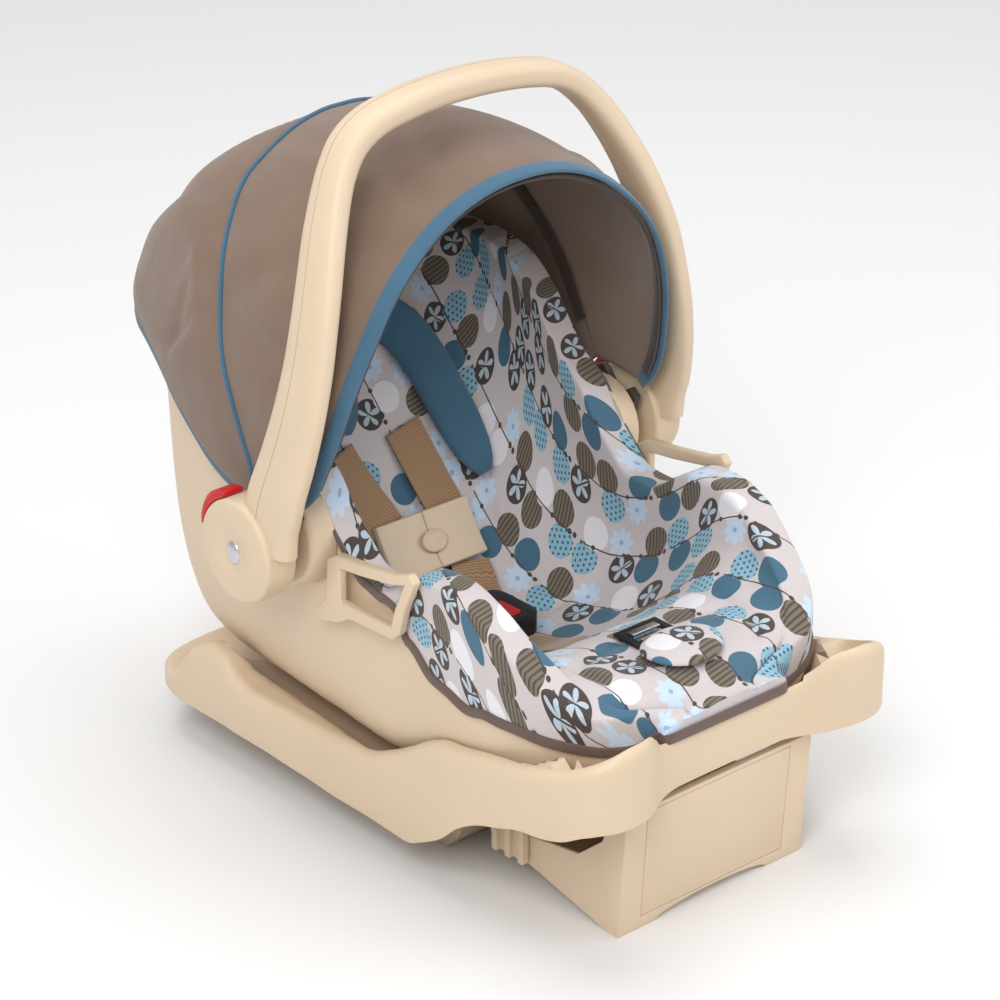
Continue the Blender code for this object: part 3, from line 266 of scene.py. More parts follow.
# %% Plastics and metal
def moulded(name, colour, roughness, grain=0.00005):
    finish = Finish(name, colour, roughness, Specular_IOR_Level=0.45)
    place = finish.place()
    broad = finish.noise(place, 9.0, 3.0)
    fine = finish.noise(place, 900.0, 2.0)
    finish.feed(Base_Color=broad.ramp(0.3, 0.7).mix([c * 0.955 for c in colour], colour),
                Roughness=broad * 0.10 + (roughness - 0.05))
    finish.bump(fine, grain, 0.5)
    return finish.material


TAN = (0.69, 0.545, 0.390)
tan_plastic = moulded("tan_moulding", TAN, 0.44)
dark_plastic = moulded("dark_moulding", (0.045, 0.036, 0.030), 0.5)
black_plastic = moulded("black_moulding", (0.012, 0.012, 0.013), 0.36, 0.00002)
red_plastic = moulded("red_moulding", (0.55, 0.010, 0.012), 0.34, 0.00002)
pan_plastic = moulded("pan_moulding", (0.52, 0.42, 0.31), 0.55)
liner_plastic = moulded("liner_moulding", (0.55, 0.50, 0.43), 0.6)


def plated_steel():
    finish = Finish("plated_steel", (0.62, 0.62, 0.64), 0.28, Metallic=1.0)
    scratch = finish.noise(finish.place(), 240.0, 4.0, 0.7)
    finish.feed(Roughness=scratch * 0.16 + 0.20)
    return finish.material


steel = plated_steel()
print("plastics and steel made")

# %% [markdown]
# ## Cloth for the canopy and its piping
# The canopy is a fine polyester poplin.  Up close it is a plain weave; further off it reads as a
# slightly cool brown that shifts with its wrinkles.  The weave is drawn on the cloth's own UV map,
# in metres, so that its threads follow the cloth, and a broad noise adds the small soft creases
# that are too fine to model.

# %% Canopy, piping, binding and webbing
def poplin(name, colour, roughness=0.82, pitch=0.0007, depth=0.00012, crease=0.0):
    finish = Finish(name, colour, roughness, Sheen_Weight=0.25, Sheen_Roughness=0.5,
                    Specular_IOR_Level=0.25)
    u, v, _ = finish.uv().parts()
    threads = finish.weave(u, v, pitch)
    cloudy = finish.noise(finish.place(), 26.0, 3.0)
    tone = cloudy.ramp(0.3, 0.7).mix([c * 0.90 for c in colour], colour)
    # painted shade: the colour darkens to four fifths of itself down in the weave's hollows between
    # threads
    painted_groove_shade = [c * 0.80 for c in colour]
    finish.feed(Base_Color=(threads.ramp(0.1, 0.8) * 0.75 + 0.25).mix(painted_groove_shade, tone))
    crumple = finish.noise(finish.place(), 17.0, 3.0)
    finish.bump(threads + crumple * crease, depth, 0.7)
    return finish.material


canopy_cloth = poplin("canopy_poplin", (0.225, 0.150, 0.108), crease=42.0)
lining_cloth = poplin("canopy_lining", (0.250, 0.172, 0.125), 0.9, 0.0011, 0.0002)
blue_cloth = poplin("blue_poplin", (0.062, 0.150, 0.235))
brown_binding = poplin("binding_tape", (0.150, 0.098, 0.080))
sleeve_cloth = poplin("bow_sleeve", (0.055, 0.036, 0.028))


def webbing_finish():
    """Narrow ribs across the strap, a finer twill along it, and a soft velvety sheen."""
    finish = Finish("harness_webbing", (0.40, 0.205, 0.085), 0.75, Sheen_Weight=0.5,
                    Sheen_Roughness=0.35, Specular_IOR_Level=0.3)
    u, v, _ = finish.uv().parts()
    ribs = (v * (2 * math.pi / 0.0022) + (u * (2 * math.pi / 0.008)).math("SINE") * 1.2).math("SINE")
    lines = (u * (2 * math.pi / 0.0016)).math("SINE")
    height = ribs * 0.35 + lines * 0.25 + 0.5
    # painted light and shade: the colour runs from dark down between the ribs to light on their tops
    tone = height.ramp(0.1, 0.9).mix((0.250, 0.145, 0.078), (0.450, 0.285, 0.165))
    finish.feed(Base_Color=tone)
    finish.bump(height, 0.0003, 0.6)
    return finish.material


webbing = webbing_finish()
print("cloths and webbing made")

# %% [markdown]
# ## The pad's print
# The cover is printed with fine dark chains hung with round charms: blue discs with spots, plain
# blue, dark discs with a pale sprig, olive discs with stripes, and pale flowers.  It could be drawn
# as one picture, but a print is a rule: the cloth is ruled into cells, each cell draws a disc to
# the left and one to the right of its chain, and a random number per cell picks the charm.

# %% Printed cotton
PRINT_COLUMN = 0.050        # between the chains
PRINT_ROW = 0.0335          # between the pairs of discs along a chain
DISC_ASIDE, DISC_DROP, DISC_RADIUS = 0.0110, 0.0030, 0.0133
SPOT_PITCH = 0.0048
CLOTH_GREY = (0.600, 0.545, 0.548)
INK_BROWN = (0.075, 0.055, 0.045)


def disc_layer(finish, u, v, side, seed):
    """The discs on one side of the chains: returns their mask and their colour."""
    column = (u / PRINT_COLUMN).math("FLOOR")
    stagger = (column * 0.5).math("FRACT")
    row = (v / PRINT_ROW + stagger).math("FLOOR")
    cell = column.node("ShaderNodeCombineXYZ", i0=column, i1=row, i2=seed)
    chance = column.node("ShaderNodeTexWhiteNoise", {"noise_dimensions": "3D"},
                         Vector=Value(finish.tree, cell.outputs[0]))
    pick = Value(finish.tree, chance.outputs["Value"])
    tint = Value(finish.tree, chance.outputs["Color"]).parts()
    drop = ((row * 0.5).math("FRACT") * 4.0 - 1.0) * (side * DISC_DROP)
    du = (u / PRINT_COLUMN - column - 0.5) * PRINT_COLUMN - side * DISC_ASIDE
    dv = (v / PRINT_ROW + stagger - row - 0.5) * PRINT_ROW - drop
    away = (du * du + dv * dv).math("SQRT")
    angle = dv.math("ARCTAN2", du)
    disc = 1.0 - away.ramp(DISC_RADIUS - 0.0004, DISC_RADIUS + 0.0001)
    spot_row = (dv / SPOT_PITCH).math("FLOOR") * 0.5
    spot_u = ((du / SPOT_PITCH + spot_row).math("FRACT") - 0.5) * SPOT_PITCH
    spot_v = ((dv / SPOT_PITCH).math("FRACT") - 0.5) * SPOT_PITCH
    spots = (spot_u * spot_u + spot_v * spot_v).math("SQRT") < 0.00120
    stripes = (dv / 0.0040 + 0.25).math("FRACT") < 0.42
    petal = (angle * 2.5 + tint[2] * 6.0).math("COSINE").math("ABSOLUTE")
    petals = away < petal * (DISC_RADIUS * 0.82)
    twig = (du * 0.8 + dv * 0.6).math("ABSOLUTE") < 0.0007
    eye = away < DISC_RADIUS * 0.16
    lobe = (angle * 4.0).math("COSINE").math("ABSOLUTE")
    flower = away < lobe * (DISC_RADIUS * 0.34) + DISC_RADIUS * 0.62
    spotted = spots.mix((0.270, 0.475, 0.590), (0.050, 0.125, 0.185))
    striped = stripes.mix((0.190, 0.160, 0.120), (0.085, 0.066, 0.052))
    dark = petals.mix((0.070, 0.054, 0.048), (0.470, 0.560, 0.640))
    dark = twig.mix(dark, (0.070, 0.054, 0.048))
    pale = eye.mix((0.560, 0.680, 0.830), (0.300, 0.440, 0.600))
    colour = (pick > 0.26).mix(spotted, (0.060, 0.150, 0.225))
    colour = (pick > 0.40).mix(colour, striped)
    colour = (pick > 0.60).mix(colour, dark)
    colour = (pick > 0.76).mix(colour, pale)
    colour = (pick > 0.88).mix(colour, (0.780, 0.765, 0.800))
    mask = disc * (1.0 - (pick > 0.76) * (pick < 0.88) * (1.0 - flower))
    return mask * (tint[0] > 0.10), colour


def printed_cotton():
    finish = Finish("printed_cotton", CLOTH_GREY, 0.85, Sheen_Weight=0.2, Sheen_Roughness=0.5,
                    Specular_IOR_Level=0.2)
    u, v, _ = finish.uv().parts()
    threads = finish.weave(u, v, 0.0008)
    slant_u = u * 0.985 + v * 0.17
    slant_v = v * 0.985 - u * 0.17
    column = (slant_u / PRINT_COLUMN).math("FLOOR")
    stagger = (column * 0.5).math("FRACT")
    aside = (slant_u / PRINT_COLUMN - column - 0.5) * PRINT_COLUMN
    down = (slant_v / PRINT_ROW + stagger) * (1 / 3)
    share = down.math("FRACT")
    line = (aside.math("ABSOLUTE") < 0.00060) * (share > 0.05) * (share < 0.95)
    bead_v = ((down * 2.0 + 0.9).math("FRACT") - 0.5) * (PRINT_ROW * 1.5)
    bead = (aside * aside + bead_v * bead_v).math("SQRT") < 0.0020
    from_end = ((down + 0.45).math("FRACT") - 0.5).math("ABSOLUTE") - 0.03
    end_v = from_end.math("ABSOLUTE") * (PRINT_ROW * 3.0)
    end = (aside * aside + end_v * end_v).math("SQRT") < 0.0022
    chains = line.math("MAXIMUM", bead)
    left_mask, left_colour = disc_layer(finish, slant_u, slant_v, -1.0, 3.0)
    right_mask, right_colour = disc_layer(finish, slant_u, slant_v, 1.0, 11.0)
    colour = left_mask.mix(CLOTH_GREY, left_colour)
    colour = right_mask.mix(colour, right_colour)
    colour = chains.mix(colour, INK_BROWN)
    colour = end.mix(colour, INK_BROWN)
    # painted shade: the print greys a little down in the weave's hollows between threads
    colour = ((1.0 - threads.ramp(0.0, 0.5)) * 0.12).mix(colour, (0.30, 0.28, 0.28))
    finish.feed(Base_Color=colour)
    finish.bump(threads, 0.00015, 0.5)
    return finish.material


print_cotton = printed_cotton()
print("print made")

# %% [markdown]
# ## Shapes worked out from a few lines
# The carrier is a rounded trough whose width, floor and rim change along its length.  Each of
# these is a short list of heights, read as one smooth curve.  The frame's solids
# were made from the same lines; here they are read more finely, so that the light runs smoothly
# over the surfaces.

# %% Curves through a few points
def smooth_value(table, at):
    """Read a height or width from listed points, eased so that it never overshoots."""
    if at <= table[0][0]:
        return table[0][1]
    if at >= table[-1][0]:
        return table[-1][1]
    slopes = [(b[1] - a[1]) / (b[0] - a[0]) for a, b in zip(table, table[1:])]
    for index, ((x0, y0), (x1, y1)) in enumerate(zip(table, table[1:])):
        if at <= x1:
            break
    before, here = slopes[max(index - 1, 0)], slopes[index]
    after = slopes[min(index + 1, len(slopes) - 1)]
    start = 0.0 if before * here <= 0 else 2 * before * here / (before + here)
    end = 0.0 if here * after <= 0 else 2 * here * after / (here + after)
    span = x1 - x0
    t = (at - x0) / span
    return ((2 * t**3 - 3 * t**2 + 1) * y0 + (t**3 - 2 * t**2 + t) * span * start
            + (3 * t**2 - 2 * t**3) * y1 + (t**3 - t**2) * span * end)


def smooth_path(points, count):
    """A Catmull-Rom curve through given points, read at even steps of its length."""
    points = [Vector(p) for p in points]
    ends = [2 * points[0] - points[1]] + points + [2 * points[-1] - points[-2]]
    fine = []
    for a, b, c, d in zip(ends, ends[1:], ends[2:], ends[3:]):
        for step in range(16):
            t = step / 16
            fine.append(0.5 * (2 * b + (c - a) * t + (2 * a - 5 * b + 4 * c - d) * t**2
                               + (3 * b - a - 3 * c + d) * t**3))
    fine.append(points[-1])
    lengths = [0.0]
    for a, b in zip(fine, fine[1:]):
        lengths.append(lengths[-1] + (b - a).length)
    out = []
    index = 0
    for step in range(count):
        want = lengths[-1] * step / (count - 1)
        while index < len(fine) - 2 and lengths[index + 1] < want:
            index += 1
        part = (want - lengths[index]) / max(lengths[index + 1] - lengths[index], 1e-9)
        out.append(fine[index].lerp(fine[index + 1], min(max(part, 0.0), 1.0)))
    return out


def mirrored(half):
    """A left-to-right row from its right half, whose first point is on the middle."""
    return [Vector((-p[0], p[1], p[2])) for p in reversed(half[1:])] + [Vector(p) for p in half]


def spread(first, last, count):
    return [first + (last - first) * k / (count - 1) for k in range(count)]


# %% [markdown]
# ## Turning rows of points into a piece
# A grid of points becomes a mesh with one face for each cell.  The same helper writes the cloth's
# own UV map in metres, measured along the rows and columns, so that a weave or a print keeps its
# true size wherever the cloth goes.

# %% The loft helper and small tools
def select_only(piece):
    for other in list(bpy.context.selected_objects):
        other.select_set(False)
    piece.select_set(True)
    bpy.context.view_layer.objects.active = piece


def apply_modifiers(piece):
    select_only(piece)
    for modifier in list(piece.modifiers):
        bpy.ops.object.modifier_apply(modifier=modifier.name)
    return piece


def add_modifier(piece, kind, **settings):
    made = piece.modifiers.new(kind.lower(), kind)
    for name, setting in settings.items():
        setattr(made, name, setting)
    return made


def new_piece(name, mesh, material, angle=None):
    """A finished bmesh becomes an object with its finish and smooth shading."""
    data = bpy.data.meshes.new(name)
    mesh.to_mesh(data)
    mesh.free()
    piece = bpy.data.objects.new(name, data)
    scene.collection.objects.link(piece)
    data.materials.append(material)
    data.shade_smooth()
    if angle is not None:
        data.set_sharp_from_angle(angle=math.radians(angle))
    return piece


def loft(name, rows, material, around=False, ends=False, angle=None):
    """Faces between rows of points, with a UV map in metres."""
    mesh = bmesh.new()
    layer = mesh.loops.layers.uv.new("cloth")
    grid = [[mesh.verts.new(p) for p in row] for row in rows]
    middle = len(rows[0]) // 2
    along = [0.0]
    for a, b in zip(rows, rows[1:]):
        along.append(along[-1] + (b[middle] - a[middle]).length)
    across = []
    for row in rows:
        run = [0.0]
        for a, b in zip(row, row[1:] + row[:1]):
            run.append(run[-1] + (b - a).length)
        across.append([value - run[middle] for value in run])
    count = len(rows[0])
    for r in range(len(rows) - 1):
        for c in range(count if around else count - 1):
            d = (c + 1) % count
            face = mesh.faces.new((grid[r][c], grid[r][d], grid[r + 1][d], grid[r + 1][c]))
            corners = ((r, c), (r, c + 1), (r + 1, c + 1), (r + 1, c))
            for loop, (i, j) in zip(face.loops, corners):
                loop[layer].uv = (across[i][j], along[i])
    if ends:
        mesh.faces.new(list(reversed(grid[0])))
        mesh.faces.new(grid[-1])
    bmesh.ops.recalc_face_normals(mesh, faces=mesh.faces)
    return new_piece(name, mesh, material, angle)


def belongs(piece, body, slot, *nodes):
    """The piece moves with a body and stands for some frame nodes; the slot is not used."""
    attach(piece, body)
    if nodes:
        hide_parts(*nodes)
    return piece


def mesh_step(piece, change):
    """Edit a piece's mesh through bmesh."""
    mesh = bmesh.new()
    mesh.from_mesh(piece.data)
    change(mesh)
    mesh.to_mesh(piece.data)
    mesh.free()


def face_away(piece, centre):
    """Turn an open sheet so that it faces away from a point."""
    def change(mesh):
        if sum((f.calc_center_median() - Vector(centre)).dot(f.normal) * f.calc_area()
               for f in mesh.faces) < 0:
            bmesh.ops.reverse_faces(mesh, faces=mesh.faces)

    mesh_step(piece, change)


def tube(name, path, across, frames, material, body, squareness=2.0, count=16, slot="canopy_fabric",
         shape=None):
    """A rounded band along a path: across gives its half sizes, frames its side and rise."""
    rows = []
    power = 2 / squareness
    for index, centre in enumerate(path):
        side, rise = frames[index]
        wide, thick = shape(index / (len(path) - 1)) if shape else (1.0, 1.0)
        ring = []
        for step in range(count):
            angle = 2 * math.pi * (step + 0.5) / count
            c, s = math.cos(angle), math.sin(angle)
            ring.append(centre + side * (across[0] * wide * math.copysign(abs(c) ** power, c))
                        + rise * (across[1] * thick * math.copysign(abs(s) ** power, s)))
        rows.append(ring)
    return belongs(loft(name, rows, material, around=True, ends=True), body, slot)


print("loft tools ready")

# %% [markdown]
# ## The carrier's outer shell
# On the real seat this is one large injection moulding with an even wall.  It could be sculpted
# from a box, but its sides are so plain that a loft through many sections follows them better.
# The wall is then added inside it, and its rim is rounded with a bevel.

# %% Carrier lines
SHELL_WALL = 0.004
SHELL_HALF_WIDTH = 0.151
SHELL_START, SHELL_END = -0.246, 0.320
SHELL_WIDTH = ((-0.246, 0.40), (-0.234, 0.70), (-0.206, 0.895), (-0.184, 0.945), (-0.149, 0.99),
               (-0.112, 1.0), (0.100, 1.0), (0.134, 0.99), (0.176, 0.965), (0.230, 0.91),
               (0.262, 0.85), (0.280, 0.77), (0.300, 0.64), (0.312, 0.50), (0.320, 0.32))
SHELL_RIM = ((-0.246, 0.158), (-0.234, 0.170), (-0.222, 0.182), (-0.205, 0.198), (-0.184, 0.216),
             (-0.166, 0.230), (-0.149, 0.244), (-0.112, 0.257), (-0.086, 0.256), (-0.065, 0.245),
             (-0.039, 0.227), (-0.013, 0.230), (0.008, 0.247), (0.025, 0.264), (0.044, 0.290),
             (0.070, 0.311), (0.102, 0.352), (0.134, 0.378), (0.176, 0.388), (0.230, 0.390),
             (0.320, 0.392))
SHELL_KEEL = ((-0.246, 0.149), (-0.234, 0.134), (-0.222, 0.122), (-0.205, 0.102), (-0.184, 0.088),
              (-0.149, 0.076), (-0.112, 0.070), (0.190, 0.067), (0.229, 0.072), (0.246, 0.088),
              (0.256, 0.112), (0.261, 0.174), (0.265, 0.216), (0.286, 0.231), (0.304, 0.268),
              (0.314, 0.352), (0.320, 0.378))
SHELL_ROUND = 5.4
SEAT_FLOOR = ((-0.250, 0.176), (-0.235, 0.189), (-0.205, 0.194), (-0.165, 0.192), (-0.125, 0.180),
              (-0.085, 0.148), (-0.045, 0.130), (0.000, 0.124), (0.030, 0.131), (0.060, 0.150),
              (0.080, 0.176), (0.100, 0.212), (0.120, 0.254), (0.140, 0.298), (0.160, 0.340),
              (0.180, 0.376), (0.198, 0.397), (0.225, 0.404), (0.300, 0.401), (0.322, 0.398))


@lru_cache(maxsize=None)
def shell_half_width(y):
    return SHELL_HALF_WIDTH * smooth_value(SHELL_WIDTH, y)


@lru_cache(maxsize=None)
def shell_rim(y):
    return smooth_value(SHELL_RIM, y)


def shell_keel(y):
    return smooth_value(SHELL_KEEL, y)


def section_height(share, keel, rim, squareness):
    share = min(abs(share), 1.0)
    return keel + (rim - keel) * (1 - (1 - share**squareness) ** (1 / squareness))


def seat_underside(x, y):
    y = min(max(y, SHELL_START), SHELL_END)
    return section_height(x / shell_half_width(y), shell_keel(y), shell_rim(y), SHELL_ROUND)


def trough(y, half_width, keel, rim, squareness, count):
    half = []
    for step in range(count + 1):
        angle = math.pi / 2 * step / count
        half.append(Vector((half_width * math.sin(angle) ** (2 / squareness), y,
                            keel + (rim - keel) * (1 - math.cos(angle) ** (2 / squareness)))))
    return half


# %% The shell itself
def shell_stations():
    """Close together where the ends turn, wider along the plain middle."""
    front = [SHELL_START + 0.030 * (k / 12) ** 1.6 for k in range(12)]
    middle = spread(SHELL_START + 0.030, 0.235, 60)
    rear = spread(0.239, SHELL_END - 0.004, 30) + [0.318, SHELL_END]
    return front + middle + rear


def build_carrier_body():
    rows = []
    for y in shell_stations():
        half = trough(y, shell_half_width(y), shell_keel(y), shell_rim(y), SHELL_ROUND, 40)
        rows.append(mirrored(smooth_path(half, 40)))
    piece = loft("carrier_body", rows, tan_plastic, ends=True, angle=60)
    face_away(piece, (0.0, 0.03, 0.32))
    add_modifier(piece, "SOLIDIFY", thickness=SHELL_WALL, offset=-1.0, use_even_offset=False)
    add_modifier(piece, "BEVEL", width=0.0012, segments=2, limit_method="ANGLE",
                 angle_limit=math.radians(55))
    apply_modifiers(piece)
    piece.data.set_sharp_from_angle(angle=math.radians(50))
    belongs(piece, "carrier", "tan_plastic", "carrier_shell")
    print("carrier body", len(piece.data.polygons), "faces")


build_carrier_body()

# %% [markdown]
# ## The base
# The base is a deep dish: an outer skirt that rises into wings at the feet end and a hump near the
# head end, a narrow rolled rim, and a cradle that follows the carrier's underside.  The outline is
# walked round in plan, and at each place one strip runs up the skirt, over the rim and down the
# cradle.

# %% Base lines
BASE_OUTLINE = (
    (0.000, -0.257, 0.158, 0.118), (0.030, -0.257, 0.158, 0.118), (0.056, -0.258, 0.158, 0.118),
    (0.075, -0.264, 0.163, 0.118), (0.090, -0.274, 0.174, 0.120), (0.106, -0.282, 0.185, 0.122),
    (0.126, -0.285, 0.186, 0.123), (0.145, -0.280, 0.181, 0.123), (0.157, -0.268, 0.174, 0.120),
    (0.162, -0.250, 0.166, 0.111), (0.163, -0.225, 0.158, 0.104), (0.163, -0.205, 0.152, 0.101),
    (0.162, -0.180, 0.147, 0.092), (0.161, -0.155, 0.142, 0.083), (0.161, -0.132, 0.137, 0.070),
    (0.160, -0.112, 0.134, 0.052), (0.160, -0.092, 0.126, 0.040), (0.160, -0.070, 0.112, 0.031),
    (0.160, -0.045, 0.098, 0.032), (0.160, -0.018, 0.087, 0.033), (0.160, 0.015, 0.085, 0.033),
    (0.160, 0.050, 0.083, 0.035), (0.160, 0.085, 0.082, 0.036), (0.160, 0.109, 0.081, 0.037),
    (0.160, 0.128, 0.081, 0.037), (0.160, 0.145, 0.086, 0.037), (0.160, 0.162, 0.100, 0.038),
    (0.160, 0.182, 0.104, 0.038), (0.160, 0.200, 0.096, 0.038), (0.160, 0.217, 0.078, 0.038),
    (0.157, 0.236, 0.058, 0.038), (0.148, 0.256, 0.057, 0.038), (0.130, 0.268, 0.057, 0.038),
    (0.100, 0.274, 0.057, 0.038), (0.060, 0.276, 0.057, 0.038), (0.030, 0.276, 0.057, 0.038),
    (0.000, 0.276, 0.057, 0.038),
)
CRADLE_GAP, FRONT_CRADLE_GAP, CRADLE_LEAN = 0.009, 0.010, 0.93
FRONT_SHARE = ((-0.185, 1.0), (-0.150, 0.0))
BASE_SPINE = 0.150
RIM_TURN = ((0.30, 0.0), (0.16, 0.0004), (0.08, 0.0016), (0.03, 0.0038), (0.0, 0.0068), (0.0, 0.0100))


def base_outline(count):
    """The listed stations read smoothly, plan and heights together."""
    plan = smooth_path([(x, y, 0.0) for x, y, _, _ in BASE_OUTLINE], count)
    runs = [0.0]
    for a, b in zip(BASE_OUTLINE, BASE_OUTLINE[1:]):
        runs.append(runs[-1] + math.hypot(b[0] - a[0], b[1] - a[1]))
    tops = [(run, station[2]) for run, station in zip(runs, BASE_OUTLINE)]
    bottoms = [(run, station[3]) for run, station in zip(runs, BASE_OUTLINE)]
    out = []
    for k, p in enumerate(plan):
        run = runs[-1] * k / (count - 1)
        out.append((p.x, p.y, smooth_value(tops, run), smooth_value(bottoms, run)))
    return out


def base_strip(x, y, top, bottom):
    middle = min(max(y, -BASE_SPINE), BASE_SPINE)
    inward = Vector((-x, middle - y, 0.0))
    reach = inward.length
    inward.normalize()
    narrow = 0.5 if y < -0.250 and x < 0.08 else 1.0
    height = top - bottom
    strip = [Vector((x, y, bottom)) + inward * 0.0005]
    for share in (0.04, 0.30, 0.55):
        strip.append(Vector((x, y, bottom + height * share)))
    for share, inset in RIM_TURN:
        strip.append(Vector((x, y, top - share * min(height, 0.045))) + inward * inset * narrow)
    rim = RIM_TURN[-1][1] * narrow
    for share in (0.02, 0.05, 0.08, 0.12, 0.18, 0.25, 0.32, 0.43, 0.55, 0.75, 1.0):
        spot = Vector((x, y, 0.0)) + inward * (rim + (reach - rim) * share)
        gap = CRADLE_GAP + FRONT_CRADLE_GAP * smooth_value(FRONT_SHARE, spot.y)
        cradle = seat_underside(spot.x * CRADLE_LEAN, spot.y) - gap
        deck = min(top - 0.0004 - 0.01 * min(share, 0.1), cradle)
        strip.append(Vector((spot.x if share < 1 else 0.0, spot.y, deck)))
    return strip


# %% The base itself
def build_base_body():
    strips = [base_strip(*station) for station in base_outline(150)]
    left = [[Vector((-p.x, p.y, p.z)) for p in strip] for strip in reversed(strips[1:-1])]
    around = strips + left
    columns = [list(column) for column in zip(*around)]
    piece = loft("base_body", columns, tan_plastic, around=True, angle=50)

    def close_spine(mesh):
        bmesh.ops.remove_doubles(mesh, verts=mesh.verts, dist=0.00005)
        bmesh.ops.recalc_face_normals(mesh, faces=mesh.faces)
        if sum(f.normal.z * f.calc_area() for f in mesh.faces) < 0:
            bmesh.ops.reverse_faces(mesh, faces=mesh.faces)

    mesh_step(piece, close_spine)
    add_modifier(piece, "SOLIDIFY", thickness=0.003, offset=-1.0, use_even_offset=False)
    apply_modifiers(piece)
    piece.data.shade_smooth()
    piece.data.set_sharp_from_angle(angle=math.radians(48))
    belongs(piece, "base", "tan_plastic", "base_shell")
    print("base body", len(piece.data.polygons), "faces")


build_base_body()

# %% [markdown]
# ## Mouldings taken from the frame
# The smaller hard parts already have their true shape in the frame, but a solid's edges are knife
# sharp, and real mouldings never are.  A copy of each is welded, its flat faces are cleaned, and a
# small bevel rounds every edge, which is what makes plastic catch the light.

# %% Rounding the frame's own parts
def mould(node, width, material, slot, angle=32, segments=3):
    source = frame["nodes"][node]
    mesh = bmesh.new()
    mesh.from_mesh(source.data)
    bmesh.ops.remove_doubles(mesh, verts=mesh.verts, dist=0.00002)
    bmesh.ops.dissolve_limit(mesh, angle_limit=math.radians(1.0), verts=mesh.verts, edges=mesh.edges)
    piece = new_piece(node + "_moulded", mesh, material)
    add_modifier(piece, "BEVEL", width=width, segments=segments, limit_method="ANGLE",
                 angle_limit=math.radians(angle), use_clamp_overlap=True)
    apply_modifiers(piece)
    piece.data.shade_smooth()
    piece.data.set_sharp_from_angle(angle=math.radians(40))
    return belongs(piece, source["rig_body"], slot, node)


SIDES = (("left", -1), ("right", 1))
for node, width, material, slot in (
        ("foot_box", 0.0016, tan_plastic, "tan_plastic"),
        ("foot_panel", 0.0009, tan_plastic, "tan_plastic"),
        ("base_pan", 0.0010, pan_plastic, "grey_plastic"),
        ("release_lever", 0.0008, red_plastic, "red_plastic"),
        ("buckle_housing", 0.0016, black_plastic, "black_plastic"),
        ("buckle_button", 0.0012, red_plastic, "red_plastic"),
        ("adjuster_plate", 0.0006, black_plastic, "black_plastic"),
        ("adjuster_lever", 0.0005, steel, "steel"),
        ("latch_bar", 0.0006, steel, "steel")):
    mould(node, width, material, slot)
spring = mould("buckle_spring", 0.0003, steel, "steel")
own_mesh(spring)
for side, way in SIDES:
    for node, width, material, slot in (
            ("foot_rail_", 0.0006, tan_plastic, "grey_plastic"),
            ("foot_latch_", 0.0008, dark_plastic, "grey_plastic"),
            ("latch_hook_", 0.0006, steel, "steel"),
            ("belt_guide_", 0.0024, tan_plastic, "tan_plastic"),
            ("hub_housing_", 0.0012, tan_plastic, "tan_plastic"),
            ("pivot_pin_", 0.0006, steel, "steel"),
            ("canopy_mid_eye_", 0.0008, dark_plastic, "grey_plastic"),
            ("canopy_front_eye_", 0.0008, dark_plastic, "grey_plastic")):
        mould(node + side, width, material, slot)
    mould("handle_button_" + side, 0.0009, red_plastic, "red_plastic", 40)
    spring = mould("foot_spring_" + side, 0.0003, steel, "steel")
    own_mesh(spring)
print("mouldings rounded")

# %% [markdown]
# ## The carrying handle
# The handle is a hollow bar moulded in two halves, wide at the arms and narrower at the grip.
# A curve with a bevel would give one round section all the way, so the halves are lofted instead:
# a squared oval is carried along the middle line, and its depth grows towards the hubs.  The two
# halves stop a hair short of each other, which draws the parting line.

# %% Handle lines
HUB_Y, HUB_Z, HUB_RADIUS = 0.060, 0.250, 0.042
hub_low, hub_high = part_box("handle_disc_right")
cap_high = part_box("hub_cap_right")[1]
DISC_IN, DISC_OUT, CAP_OUT = hub_low.x, hub_high.x, cap_high.x
ARM_CENTRE_X = (DISC_IN + DISC_OUT) / 2 + 0.003
ARM_PATH = ((1.000, 0.030, 0.258), (1.000, 0.031, 0.280), (0.995, 0.025, 0.305),
            (0.970, 0.017, 0.335), (0.935, 0.011, 0.370), (0.895, 0.009, 0.405),
            (0.860, 0.010, 0.435), (0.810, 0.015, 0.467), (0.750, 0.023, 0.498),
            (0.678, 0.032, 0.526), (0.620, 0.038, 0.543), (0.545, 0.043, 0.558),
            (0.440, 0.045, 0.569), (0.300, 0.046, 0.575), (0.150, 0.047, 0.578), (0.000, 0.047, 0.579))
ARM_DEPTH, ARM_THICK, GRIP_DEPTH, GRIP_THICK = 0.060, 0.020, 0.034, 0.022
DEPTH_SHARE = ((0.0, 0.0), (0.30, 0.0), (0.45, 0.25), (0.62, 0.45), (0.80, 0.75), (0.93, 1.0))
PARTING = 0.24


def handle_section(centre, along, depth, thick, rear, count=48):
    """Half of a squared oval, in front of the parting line or behind it."""
    depth_way = Vector((0, 1, 0))
    thick_way = depth_way.cross(along).normalized()
    split = PARTING * depth / 2
    ring = []
    for step in range(count):
        angle = 2 * math.pi * (step + 0.5) / count
        c, s = math.cos(angle), math.sin(angle)
        a = depth / 2 * math.copysign(abs(c) ** (2 / 3.0), c)
        b = thick / 2 * math.copysign(abs(s) ** (2 / 3.0), s)
        lip = 0.0005 if abs(a - split) < 0.0012 else 0.0
        a = max(a, split + 0.0004) if rear else min(a, split)
        ring.append(centre + depth_way * a + thick_way * (b - math.copysign(lip, b)))
    return ring


